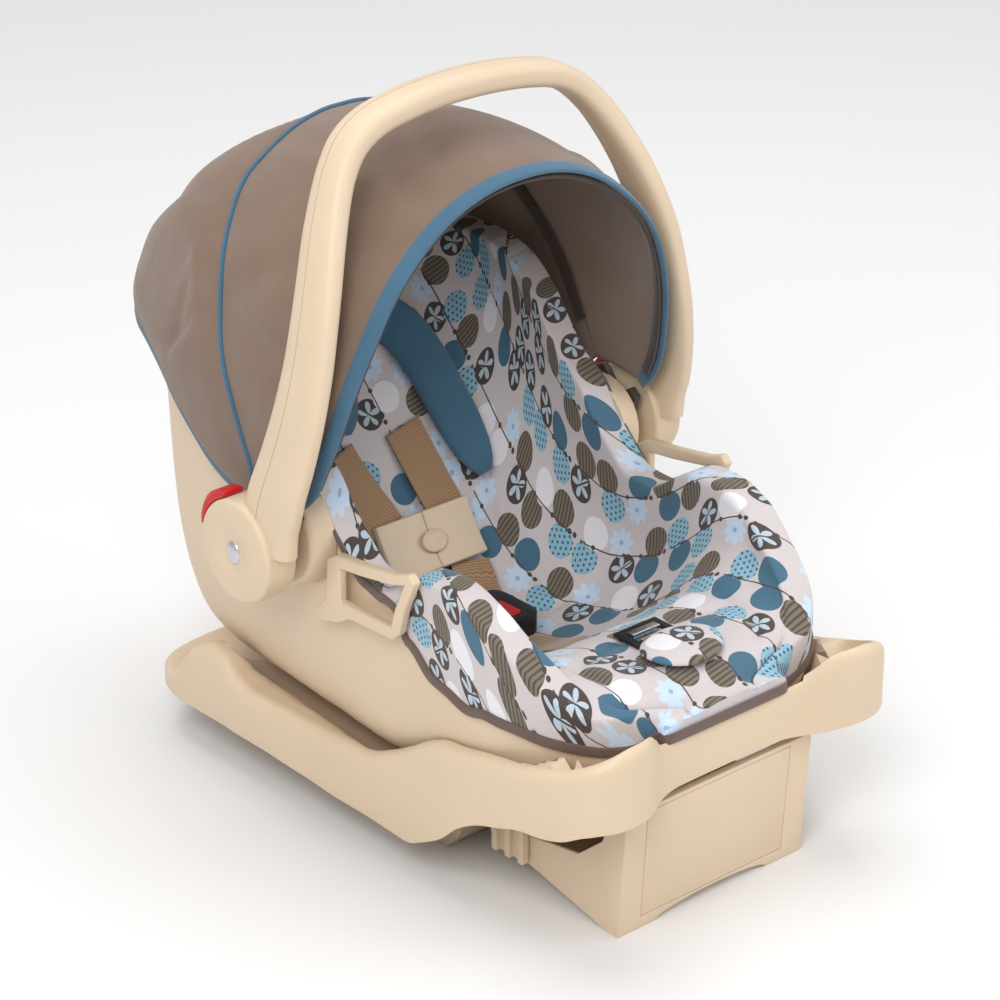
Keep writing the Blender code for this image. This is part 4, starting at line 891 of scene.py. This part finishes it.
# %% The two handle halves
def build_handle():
    path = smooth_path(mirrored([(ARM_CENTRE_X * s, y, z) for s, y, z in reversed(ARM_PATH)]), 161)
    for name, node, rear in (("handle_front_half", "handle_front_shell", False),
                             ("handle_rear_half", "handle_rear_shell", True)):
        rows = []
        for index, centre in enumerate(path):
            along = (path[min(index + 1, 160)] - path[max(index - 1, 0)]).normalized()
            middle = abs(index / 80 - 1)
            depth = GRIP_DEPTH + (ARM_DEPTH - GRIP_DEPTH) * smooth_value(DEPTH_SHARE, middle)
            depth *= smooth_value(((0.93, 1.0), (1.0, 0.80)), middle)
            thick = GRIP_THICK + (ARM_THICK - GRIP_THICK) * min(middle * 2, 1.0)
            rows.append(handle_section(centre, along, depth, thick, rear))
        piece = loft(name, rows, tan_plastic, around=True, ends=True, angle=38)
        belongs(piece, "handle", "tan_plastic", node)
    print("handle halves", len(path), "sections each")


build_handle()

# %% [markdown]
# ## The hubs
# Each arm ends in a round boss with a softly domed face and a plated oval in its middle.  The boss
# starts as a cylinder laid on its side; its face is inset and drawn out a little at a time, and a
# bevel rounds the rim.  The oval is a squashed ball set into a shallow ring.

# %% Bosses, rings and ovals
HUB_FACE = ((0.006, 0.0012), (0.010, 0.0008), (0.010, 0.0), (0.0018, -0.0008), (0.003, -0.0004))


def build_hub(side, way):
    depth = CAP_OUT - 0.003 - DISC_IN
    centre_x = way * (DISC_IN + depth / 2)
    bpy.ops.object.select_all(action="DESELECT")
    bpy.ops.mesh.primitive_cylinder_add(vertices=96, radius=HUB_RADIUS, depth=depth,
                                        location=(centre_x, HUB_Y, HUB_Z),
                                        rotation=(0, math.pi / 2, 0))
    boss = bpy.context.object
    boss.name = "hub_boss_" + side
    bpy.ops.object.transform_apply(location=True, rotation=True, scale=True)
    bpy.ops.object.mode_set(mode="EDIT")
    mesh = bmesh.from_edit_mesh(boss.data)
    for face in mesh.faces:
        face.select_set(face.normal.x * way > 0.9)
    bmesh.update_edit_mesh(boss.data)
    for inset, rise in HUB_FACE:
        bpy.ops.mesh.inset(thickness=inset, depth=0.0)
        bpy.ops.transform.translate(value=(way * rise, 0, 0))
    bpy.ops.object.mode_set(mode="OBJECT")
    boss.data.materials.append(tan_plastic)
    add_modifier(boss, "BEVEL", width=0.0035, segments=5, limit_method="ANGLE",
                 angle_limit=math.radians(40))
    apply_modifiers(boss)
    boss.data.shade_smooth()
    boss.data.set_sharp_from_angle(angle=math.radians(50))
    bpy.ops.object.select_all(action="DESELECT")
    bpy.ops.mesh.primitive_uv_sphere_add(segments=48, ring_count=24, radius=1.0,
                                         location=(way * (CAP_OUT - 0.0024), HUB_Y, HUB_Z),
                                         scale=(0.0030, 0.0078, 0.0096))
    oval = bpy.context.object
    oval.name = "hub_oval_" + side
    bpy.ops.object.transform_apply(location=True, rotation=True, scale=True)
    oval.data.materials.append(steel)
    oval.data.shade_smooth()
    belongs(boss, "handle", "tan_plastic", "handle_disc_" + side, "hub_cap_" + side)
    belongs(oval, "handle", "steel", "hub_rivet_" + side)


for side, way in SIDES:
    build_hub(side, way)
print("hubs made")

# %% [markdown]
# ## The canopy
# One piece of cloth spans the two flat bows, and a second runs from the middle bow down behind
# the head end to the shell.
# The cloth is drawn tight across the bows and slack between them, so it shows soft folds that
# fan out from the hubs.  A simulation would have to be held along both bows anyway, so the folds
# are laid in: long shallow waves that run from the hubs and fade out at the bows.

# %% Hoops and the cloth between them
EYE_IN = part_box("canopy_front_eye_right")[0].x
CANOPY_HALF = EYE_IN + 0.006
MID_TILT = math.radians(-25.0)
MID_HOOP = ((0.050, 1.0), (0.070, 1.0), (0.091, 1.0), (0.137, 0.985), (0.174, 0.93), (0.216, 0.83),
            (0.247, 0.72), (0.270, 0.60), (0.284, 0.46), (0.297, 0.29), (0.304, 0.12), (0.305, 0.0))
FRONT_HOOP = ((0.99, 0.026, 0.292), (0.988, 0.014, 0.305), (0.985, 0.006, 0.322),
              (0.955, -0.004, 0.350), (0.905, -0.014, 0.390), (0.820, -0.022, 0.432),
              (0.720, -0.024, 0.463), (0.575, -0.024, 0.490), (0.400, -0.024, 0.511),
              (0.200, -0.025, 0.524), (0.0, -0.026, 0.528))
REAR_SWELL, REAR_FOLD, REAR_FOLDS = 0.042, 0.0052, 20
FRONT_SAG, FRONT_FOLD, FRONT_FOLDS = 0.004, 0.0034, 18
INSIDE_HANDLE = ((0.0, 0.308), (0.071, 0.302), (0.114, 0.290), (0.138, 0.268), (0.155, 0.232),
                 (0.179, 0.170))
TRIM_EDGE = SHELL_HALF_WIDTH + 0.0115
ACROSS = 121
HUB = Vector((0.0, HUB_Y, HUB_Z))


def whole(half):
    return smooth_path(mirrored(list(reversed(half))), ACROSS)


mid_line = whole([(CANOPY_HALF * s, HUB_Y - r * math.sin(MID_TILT), HUB_Z + r * math.cos(MID_TILT))
                  for r, s in MID_HOOP])
front_line = whole([(CANOPY_HALF * s, y, z) for s, y, z in FRONT_HOOP])
trim_line = whole([(TRIM_EDGE, 0.112, 0.262), (TRIM_EDGE, 0.133, 0.266), (TRIM_EDGE, 0.158, 0.277),
                   (TRIM_EDGE - 0.002, 0.183, 0.293), (TRIM_EDGE - 0.005, 0.209, 0.311),
                   (TRIM_EDGE - 0.010, 0.234, 0.330), (TRIM_EDGE - 0.018, 0.262, 0.344),
                   (TRIM_EDGE - 0.032, 0.295, 0.350), (TRIM_EDGE - 0.056, 0.325, 0.352),
                   (TRIM_EDGE - 0.095, 0.338, 0.352), (0.030, 0.343, 0.352), (0.0, 0.344, 0.352)])


def fold_wave(across, share, seed, count):
    """Soft folds: a few long waves that lie along the rows and fade out at both bows."""
    fade = math.sin(math.pi * share) ** 0.8
    total = 0.0
    for k in range(count):
        centre = (math.sin(seed + k * 2.4) * 0.5 + 0.5)
        lean = math.sin(seed * 1.7 + k * 1.3) * 0.16
        width = 0.013 + 0.016 * (math.sin(seed * 0.7 + k * 3.1) * 0.5 + 0.5)
        away = (across - centre - lean * (share - 0.5)) / width
        total += math.exp(-away * away) * (1 if k % 2 else -1)
    return fade * total


def front_rows(count=41):
    rows = []
    for step in range(count):
        share = step / (count - 1)
        row = []
        for index, (a, b) in enumerate(zip(front_line, mid_line)):
            away = a.lerp(b, share) - HUB
            want = (a - HUB).length * (1 - share) + (b - HUB).length * share
            across = index / (ACROSS - 1)
            edge = min(1.0, 6 * min(across, 1 - across))
            sag = FRONT_SAG * math.sin(math.pi * share) * edge
            wave = FRONT_FOLD * fold_wave(across, share, 1.0, FRONT_FOLDS) * edge
            row.append(HUB + away.normalized() * (want - sag + wave))
        rows.append(row)
    return rows


def rear_rows(count=57):
    rows = []
    for step in range(count):
        share = step / (count - 1)
        row = []
        for index, (a, b) in enumerate(zip(mid_line, trim_line)):
            across = index / (ACROSS - 1)
            bulge = math.sin(math.pi * across)
            swell = REAR_SWELL * math.sin(math.pi * share) ** 0.8 * bulge
            point = a.lerp(b, share)
            away = point - Vector((0.0, 0.16, 0.30))
            away.x *= 0.5
            away.normalize()
            edge = min(1.0, 8 * min(across, 1 - across))
            wave = REAR_FOLD * fold_wave(across, share, 4.0, REAR_FOLDS) * edge * bulge
            point = point + away * swell
            out = Vector((0.0, point.y - HUB_Y, point.z - HUB_Z))
            most = smooth_value(INSIDE_HANDLE, abs(point.x))
            if out.length > most:
                point -= out.normalized() * (out.length - most)
            row.append(point - away * abs(wave))
        rows.append(row)
    return rows


# %% Making the cloth pieces
def longest(rows):
    return max(sum((b - a).length for a, b in zip(row, row[1:])) for row in rows)


def share_weights(piece, reverse):
    """Read each point's share of the way between the two bows, turned round when reverse is set;
    nothing is written.
    """
    values = np.zeros(len(piece.data.vertices), np.float32)
    layer = piece.data.attributes["row_share"]
    layer.data.foreach_get("value", values)
    values = 1.0 - values if reverse else values


def cloth_piece(name, rows, node, reverse):
    piece = loft(name, rows, canopy_cloth)
    face_away(piece, (0.0, 0.08, 0.30))
    flat = (longest(rows), longest([list(column) for column in zip(*rows)]))
    layer = piece.data.attributes.new("row_share", "FLOAT", "POINT")
    layer.data.foreach_set("value", [r / (len(rows) - 1) for r, row in enumerate(rows) for _ in row])
    piece.data.materials.append(lining_cloth)
    add_modifier(piece, "SOLIDIFY", thickness=0.0012, offset=-1.0, material_offset=1,
                 material_offset_rim=0)
    apply_modifiers(piece)
    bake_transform(piece)
    share_weights(piece, reverse)
    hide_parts(node)
    return piece


cloth_piece("canopy_front_skin", front_rows(), "canopy_front_cloth",
            True)
cloth_piece("canopy_rear_skin", rear_rows(), "canopy_rear_cloth",
            False)

# %% [markdown]
# ## Piping, binding and hems
# Blue piping follows the seam over the middle bow, a broad blue binding wraps the front hoop, and
# a narrower one hems the cloth where it meets the shell.  Each is a tube with a squared section,
# carried along the same line as the cloth's edge, and turned to lie flat on it.

# %% Canopy trims
def frames_on(line, centre):
    """For each point: the way across the band and the way out of the cloth."""
    found = []
    for index, point in enumerate(line):
        along = (line[min(index + 1, len(line) - 1)] - line[max(index - 1, 0)]).normalized()
        out = point - Vector(centre)
        out -= along * out.dot(along)
        out.normalize()
        found.append((along.cross(out).normalized(), out))
    return found


def trim(name, line, half_wide, half_thick, body, lift, squareness):
    frames = frames_on(line, (0.0, HUB_Y, HUB_Z + 0.04))
    path = [point + out * lift for point, (_, out) in zip(line, frames)]
    tube(name, path, (half_wide, half_thick), frames, blue_cloth, body, squareness, 14, "blue_fabric")


trim("canopy_front_binding", front_line, 0.0068, 0.0022, "canopy_front", -0.0006, 3.0)
trim("canopy_mid_piping", mid_line, 0.0021, 0.0021, "canopy_mid", 0.0008, 2.0)
trim("canopy_rear_hem", trim_line, 0.0040, 0.0016, "carrier", 0.0002, 2.6)
for bow in ("canopy_mid_bow", "canopy_front_bow"):
    mould(bow, 0.0008, sleeve_cloth, "grey_plastic", 40, 2)
print("canopy trims made")

# %% [markdown]
# ## The seat pad
# The pad is one stuffed cover: it fills the tub, turns over the rim and hangs down outside the
# front.  It is lofted ring by ring from the same lines as the shell, with the sewn channels drawn
# in as shallow valleys, and then filled by a short cloth simulation: the underside and the seams
# are pinned, the rest swells a few millimetres under pressure.  Lofting first keeps the cover's
# own flat measure, so the print runs along the cloth as it does on a real cover.

# %% Pad lines
TUB_SIDE, TUB_WALL, PAD_SIDE, PAD_RISE, PAD_THICK = 0.0065, 0.004, 0.016, 0.005, 0.012
PAD_ON_RIM, PAD_BELOW_RIM, LIP_BOTTOM = -0.215, 0.004, 0.162
PAD_HANG = ((-0.068, 1.0), (-0.044, 0.0))       # 1 where the cover hangs down outside the shell
PAD_WRAP = ((-0.044, 1.0), (-0.020, 0.0))       # 1 where the cover reaches past the rim
PAD_SKIRT = ((-0.256, 0.004), (-0.245, 0.006), (-0.222, 0.018), (-0.205, 0.030),
             (-0.165, 0.058), (-0.130, 0.080), (-0.100, 0.075), (-0.070, 0.045),
             (-0.050, 0.020), (-0.020, 0.008), (0.30, 0.006))
FEET_END, HEAD_END = SHELL_WIDTH[0][0], 0.262
PAD_TOP_POINTS, PAD_TURN_POINTS, PAD_LOW_POINTS = 34, 22, 26
SEAM_SHARE, SEAM_DEEP, SEAM_WIDE = 0.60, 0.0042, 0.0055
CROSS_SEAMS = (-0.158, 0.022, 0.150)


@lru_cache(maxsize=None)
def floor_height(y, spread=0.0, drop=0.0):
    """The pad's middle line, lowered so that a layer under it keeps its thickness."""
    return min(smooth_value(SEAT_FLOOR, y + spread * k / 4) for k in range(-4, 5)) - drop


@lru_cache(maxsize=None)
def pad_inside(y):
    return max(shell_half_width(max(y, FEET_END)) - TUB_SIDE - TUB_WALL - PAD_SIDE, 0.02)


def pad_top(x, y):
    """Height of the seat's surface, where the straps lie."""
    return section_height(x / pad_inside(y), floor_height(y), shell_rim(y) + PAD_RISE, 3.0)


def pad_normal(x, y, step=0.004):
    across = (pad_top(x + step, y) - pad_top(x - step, y)) / (2 * step)
    along = (pad_top(x, y + step) - pad_top(x, y - step)) / (2 * step)
    return Vector((-across, -along, 1.0)).normalized()


def pad_edge(y):
    """The turned-over part of the section, from the seat's side to the cover's lower edge."""
    held = max(y, FEET_END)
    outside, rim = shell_half_width(held), shell_rim(held)
    wrap, down = smooth_value(PAD_WRAP, y), smooth_value(PAD_HANG, y)
    over = 0.0015 + smooth_value(((-0.246, 0.008), (-0.200, 0.004), (-0.150, 0.0)), y)
    over += 0.002 * (1 - down)
    rise = max(PAD_RISE, over + 0.004)
    inside = pad_inside(y)
    crest = max(rim + rise, floor_height(y) - 0.004)
    hang = smooth_value(PAD_SKIRT, y) * down - 0.0008 * (1 - down)
    levels = (rim + over + 0.002, rim + over - (over + hang) * 0.5, rim - hang)
    if y < FEET_END:
        levels = (rim + 0.008, LIP_BOTTOM + 0.003, LIP_BOTTOM)
    line = [Vector((inside, y, rim + rise - 0.002)), Vector((inside + 0.004, y, crest)),
            Vector((outside - 0.001, y, crest))]
    line += [Vector((outside - 0.0006 + out * wrap, y, level))
             for level, out in zip(levels, (0.0045, 0.0050, 0.0035))]
    return line, outside, rim, rise, over, hang, wrap


def pad_ring(y):
    """One closed section, and the number of its points from the seat's middle to the cover's edge."""
    edge, outside, rim, rise, over, hang, wrap = pad_edge(y)
    top = trough(y, pad_inside(y), floor_height(y), rim + rise - 0.002, 3.0, PAD_TOP_POINTS)
    top += smooth_path(edge, PAD_TURN_POINTS)[1:]
    if y >= FEET_END:
        seat = outside - TUB_SIDE - TUB_WALL - 0.001
        level = rim + over if y < PAD_ON_RIM else rim - PAD_BELOW_RIM
        low = trough(y, seat, floor_height(y, 0.010, PAD_THICK), level, 3.2, PAD_LOW_POINTS - 6)
        low.append(Vector((seat, y, rim + over)))
        beside = outside - 0.0015 + 0.0030 * wrap
        low += [Vector((beside, y, rim + over - (over + hang) * k / 4)) for k in range(5)]
    else:
        low = [Vector(((outside + 0.001) * k / PAD_LOW_POINTS, y, LIP_BOTTOM - 0.002))
               for k in range(PAD_LOW_POINTS + 1)]
    ring = mirrored(top) + list(reversed(mirrored(low)))
    shift = len(top) - 1 - len(ring) // 2
    return ring[shift:] + ring[:shift], len(top)


def valley(distance, width):
    return math.exp(-(distance / width) ** 2)


def seam_depth(point):
    """How deep the sewn channels are at a point of the seat, in metres."""
    half = pad_inside(point.y)
    share = abs(point.x) / half
    panel = SEAM_SHARE if point.y > 0.0 else SEAM_SHARE + 0.10
    deep = valley((share - panel) * half, SEAM_WIDE) if -0.225 < point.y < 0.235 else 0.0
    if share < panel:
        for seam in CROSS_SEAMS:
            bow = seam - 0.018 * (share / panel) ** 2
            deep = max(deep, valley(point.y - bow, SEAM_WIDE))
    return SEAM_DEEP * deep


# %% Lofting and filling the pad
def pad_stations():
    found = [-0.2565, -0.2552, -0.2535, -0.2510, -0.2480]
    found += [FEET_END + (HEAD_END - FEET_END) * k / 116 for k in range(117)]
    return found


def fill_with_air(piece, held, most):
    """A short cloth simulation under pressure; no point moves further than it may."""
    before = [v.co.copy() for v in piece.data.vertices]
    group = piece.vertex_groups.new(name="held")
    for index, weight in enumerate(held):
        if weight > 0:
            group.add([index], weight, "REPLACE")
    cloth = piece.modifiers.new("cloth", "CLOTH")
    for name, setting in (("quality", 5), ("mass", 0.2), ("tension_stiffness", 8),
                          ("compression_stiffness", 8), ("shear_stiffness", 5),
                          ("bending_stiffness", 0.3), ("use_pressure", True),
                          ("uniform_pressure_force", 4.0), ("vertex_group_mass", "held")):
        setattr(cloth.settings, name, setting)
    cloth.settings.effector_weights.gravity = 0.0
    for frame_number in range(1, 17):
        scene.frame_set(frame_number)
    seen = piece.evaluated_get(bpy.context.evaluated_depsgraph_get())
    after = [v.co.copy() for v in seen.data.vertices]
    piece.modifiers.remove(cloth)
    scene.frame_set(1)
    moved = 0.0
    for vertex, start, end, cap in zip(piece.data.vertices, before, after, most):
        way = end - start
        if way.length > cap:
            way *= cap / way.length
        vertex.co = start + way
        moved = max(moved, way.length)
    piece.vertex_groups.clear()
    print(piece.name, "swelled by up to", round(moved * 1000, 1), "mm")


def build_pad():
    rows, held, most = [], [], []
    for y in pad_stations():
        ring, top_count = pad_ring(y)
        first = len(ring) // 2 - (top_count - 1)
        for index, point in enumerate(ring):
            on_top = first <= index <= first + 2 * (top_count - 1)
            edge = min(index - first, first + 2 * (top_count - 1) - index)
            deep = seam_depth(point) if on_top and edge > PAD_TURN_POINTS else 0.0
            if on_top and edge > 3:
                out = pad_normal(point.x, point.y) if edge > PAD_TURN_POINTS else Vector((0, 0, 0))
                crumple = noise.noise(point * 26.0) * 0.0016 + noise.noise(point * 60.0) * 0.0007
                point += out * (crumple - deep)
            free = on_top and edge > 3 and y > -0.250
            held.append(0.0 if free and deep < SEAM_DEEP * 0.6 else 1.0)
            most.append(0.0045 if edge > PAD_TURN_POINTS else 0.0022)
        rows.append(ring)
    piece = loft("seat_pad_cover", rows, print_cotton, around=True, ends=True)
    fill_with_air(piece, held, most)
    add_modifier(piece, "SUBSURF", levels=1, render_levels=1)
    apply_modifiers(piece)
    piece.data.shade_smooth()
    belongs(piece, "carrier", "pad_fabric", "seat_pad")
    print("seat pad", len(rows), "rows")


build_pad()

# %% [markdown]
# ## Binding, liner and flap
# A brown tape binds the cover's free edge from one hub round the feet end to the other.  A small
# stuffed flap of the same print lies over the end of the adjuster strap.  The liner under the pad
# is rounded like the other mouldings.

# %% Edge binding and flap
def edge_line(start=0.070):
    half = []
    y = start
    while y > -0.2560:
        half.append(pad_edge(y)[0][-1] + Vector((0.0010, 0.0, 0.0)))
        y -= 0.006
    tip = pad_edge(-0.2565)[0][-1]
    half.append(Vector((tip.x - 0.004, -0.2575, tip.z)))
    half.append(Vector((tip.x * 0.5, -0.2580, tip.z)))
    other = [Vector((-p.x, p.y, p.z)) for p in reversed(half)]
    return half + [Vector((0.0, -0.2580, tip.z))] + other


binding_path = smooth_path(edge_line(), 261)
binding_frames = []
for index, point in enumerate(binding_path):
    along = (binding_path[min(index + 1, 260)] - binding_path[max(index - 1, 0)]).normalized()
    out = Vector((point.x, point.y + 0.08, 0.0)).normalized()
    out = (out - along * out.dot(along)).normalized()
    binding_frames.append((along.cross(out), out))
tube("pad_binding", binding_path, (0.0042, 0.0014), binding_frames, brown_binding, "carrier", 3.0, 14,
     "pad_fabric")


def build_flap():
    rows = []
    half_x, half_y, centre_y = 0.036, 0.026, -0.206
    for step in range(21):
        turn = math.pi * (0.02 + 0.96 * step / 20)
        reach = math.sin(turn) ** 0.6
        ring = []
        for k in range(56):
            angle = 2 * math.pi * k / 56
            x, y = half_x * reach * math.cos(angle), centre_y + half_y * reach * math.sin(angle)
            rise = 0.0068 * math.cos(turn) if step < 10 else 0.0010 * math.cos(turn)
            rise += 0.0006 * noise.noise(Vector((x * 60, y * 60, 3.0)))
            ring.append(Vector((x, y, pad_top(x, y) + 0.0060 + rise)))
        rows.append(ring)
    piece = loft("adjuster_flap", rows, print_cotton, around=True, ends=True)
    layer = piece.data.uv_layers["cloth"].data
    for polygon in piece.data.polygons:
        for loop in polygon.loop_indices:
            spot = piece.data.vertices[piece.data.loops[loop].vertex_index].co
            layer[loop].uv = (spot.x + 0.013, spot.y)
    belongs(piece, "carrier", "pad_fabric")


build_flap()
mould("seat_tub", 0.0012, liner_plastic, "grey_plastic", 40, 2)
print("binding and flap made")

# %% [markdown]
# ## The harness
# The webbing is flat woven strap, under two millimetres thick, so it is laid directly along its
# route on the pad: a simulation would only thin it.  The two shoulder covers are padded
# sleeves, fuller in the middle and drawn in at the lower end, and the chest clip is a moulded
# frame in two halves with a raised oval in the middle.

# %% Webbing and shoulder covers
def on_pad(points, count):
    """Points on the seat's surface, each lifted by its third number."""
    return smooth_path([Vector((x, y, pad_top(x, y) + lift)) for x, y, lift in points], count)


def flat_frames(path, tilt_start, tilt_end):
    found = []
    for index in range(len(path)):
        along = (path[min(index + 1, len(path) - 1)] - path[max(index - 1, 0)]).normalized()
        side = Vector(tilt_start).lerp(Vector(tilt_end), index / (len(path) - 1))
        side = (side - along * side.dot(along)).normalized()
        rise = side.cross(along)
        found.append((side, rise if rise.z > 0 else -rise))
    return found


def strap(node, points, half_width, tilt_start=(1, 0, 0), tilt_end=(1, 0, 0)):
    path = on_pad(points, 33)
    piece = tube(node + "_webbing", path, (half_width, 0.0009), flat_frames(path, tilt_start, tilt_end),
                 webbing, "carrier", 5.0, 20, "webbing")
    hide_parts(node)


def cover_shape(share):
    end = smooth_value(((0.0, 1.0), (0.70, 1.0), (0.86, 0.86), (0.95, 0.62), (1.0, 0.34)), share)
    puff = smooth_value(((0.0, 0.45), (0.08, 0.9), (0.5, 1.0), (0.85, 0.85), (1.0, 0.35)), share)
    return end, puff * (1.0 + 0.05 * math.sin(share * 40.0))


def shoulder_cover(node, points, tilt_start, tilt_end):
    path = on_pad(points, 61)
    piece = tube(node + "_padded", path, (0.0195, 0.0062), flat_frames(path, tilt_start, tilt_end),
                 blue_cloth, "carrier", 2.6, 32, "blue_fabric", cover_shape)
    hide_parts(node)


strap("shoulder_strap_left",
      ((-0.068, 0.118, 0.010), (-0.062, 0.110, 0.011), (-0.054, 0.102, 0.011),
       (-0.046, 0.0935, 0.012), (-0.042, 0.088, 0.013)), 0.019, (1, 0, -0.34), (1, 0, -0.14))
strap("shoulder_strap_right",
      ((0.004, 0.124, 0.007), (0.009, 0.112, 0.011), (0.014, 0.102, 0.012),
       (0.018, 0.0935, 0.013), (0.020, 0.088, 0.014)), 0.019)
strap("chest_strap_left",
      ((-0.035, 0.062, 0.013), (-0.034, 0.0585, 0.012), (-0.029, 0.048, 0.012),
       (-0.024, 0.038, 0.012), (-0.016, 0.026, 0.011)), 0.015)
strap("chest_strap_right",
      ((0.022, 0.062, 0.013), (0.021, 0.0585, 0.0125), (0.019, 0.052, 0.0125),
       (0.015, 0.044, 0.013), (0.012, 0.038, 0.014), (0.008, 0.028, 0.014)), 0.019)
strap("crotch_strap",
      ((0, -0.092, 0.003), (0, -0.078, 0.007), (0, -0.056, 0.0075), (-0.004, -0.0275, 0.0075)), 0.019)
strap("adjuster_strap",
      ((0, -0.176, 0.004), (0, -0.186, 0.0035), (0, -0.205, 0.003), (0, -0.222, 0.003)), 0.013)
shoulder_cover("shoulder_cover_right",
               ((0.000, 0.163, 0.012), (0.020, 0.153, 0.020), (0.035, 0.141, 0.023),
                (0.048, 0.122, 0.024), (0.057, 0.105, 0.0245), (0.0635, 0.089, 0.0250)),
               (0.45, 0, 0.9), (1, 0, 0.35))
shoulder_cover("shoulder_cover_left",
               ((-0.036, 0.166, 0.018), (-0.046, 0.152, 0.024), (-0.052, 0.140, 0.025),
                (-0.056, 0.130, 0.024), (-0.059, 0.120, 0.022)), (1, 0, -0.2), (1, 0, -0.3))
print("webbing laid")

# %% Chest clip
for side, _ in SIDES:
    mould("chest_clip_" + side, 0.0016, tan_plastic, "tan_plastic", 30, 4)


def build_clip_oval():
    """A raised oval on the middle of the clip, square to its face."""
    halves = [frame["nodes"]["chest_clip_" + side].data for side, _ in SIDES]
    face = max((p for p in halves[0].polygons), key=lambda p: p.area * max(p.normal.z, 0.0))
    normal = face.normal.copy()
    points = [v.co for half in halves for v in half.vertices]
    middle = sum(points, Vector()) / len(points)
    top = max((p - middle).dot(normal) for p in points)
    side = Vector((1, 0, 0)) - normal * normal.x
    side.normalize()
    up = normal.cross(side)
    rows = []
    for reach, rise in ((1.0, -0.0006), (1.0, 0.0006), (0.94, 0.0013), (0.80, 0.0016), (0.72, 0.0010),
                        (0.60, 0.0010), (0.35, 0.0013), (0.05, 0.0014)):
        ring = []
        for step in range(56):
            angle = 2 * math.pi * step / 56
            ring.append(middle + side * (0.0125 * reach * math.cos(angle))
                        + up * (0.0095 * reach * math.sin(angle)) + normal * (top + rise))
        rows.append(ring)
    piece = loft("chest_clip_oval", rows, tan_plastic, around=True, ends=True, angle=50)
    belongs(piece, "carrier", "tan_plastic")


build_clip_oval()
print("chest clip made")
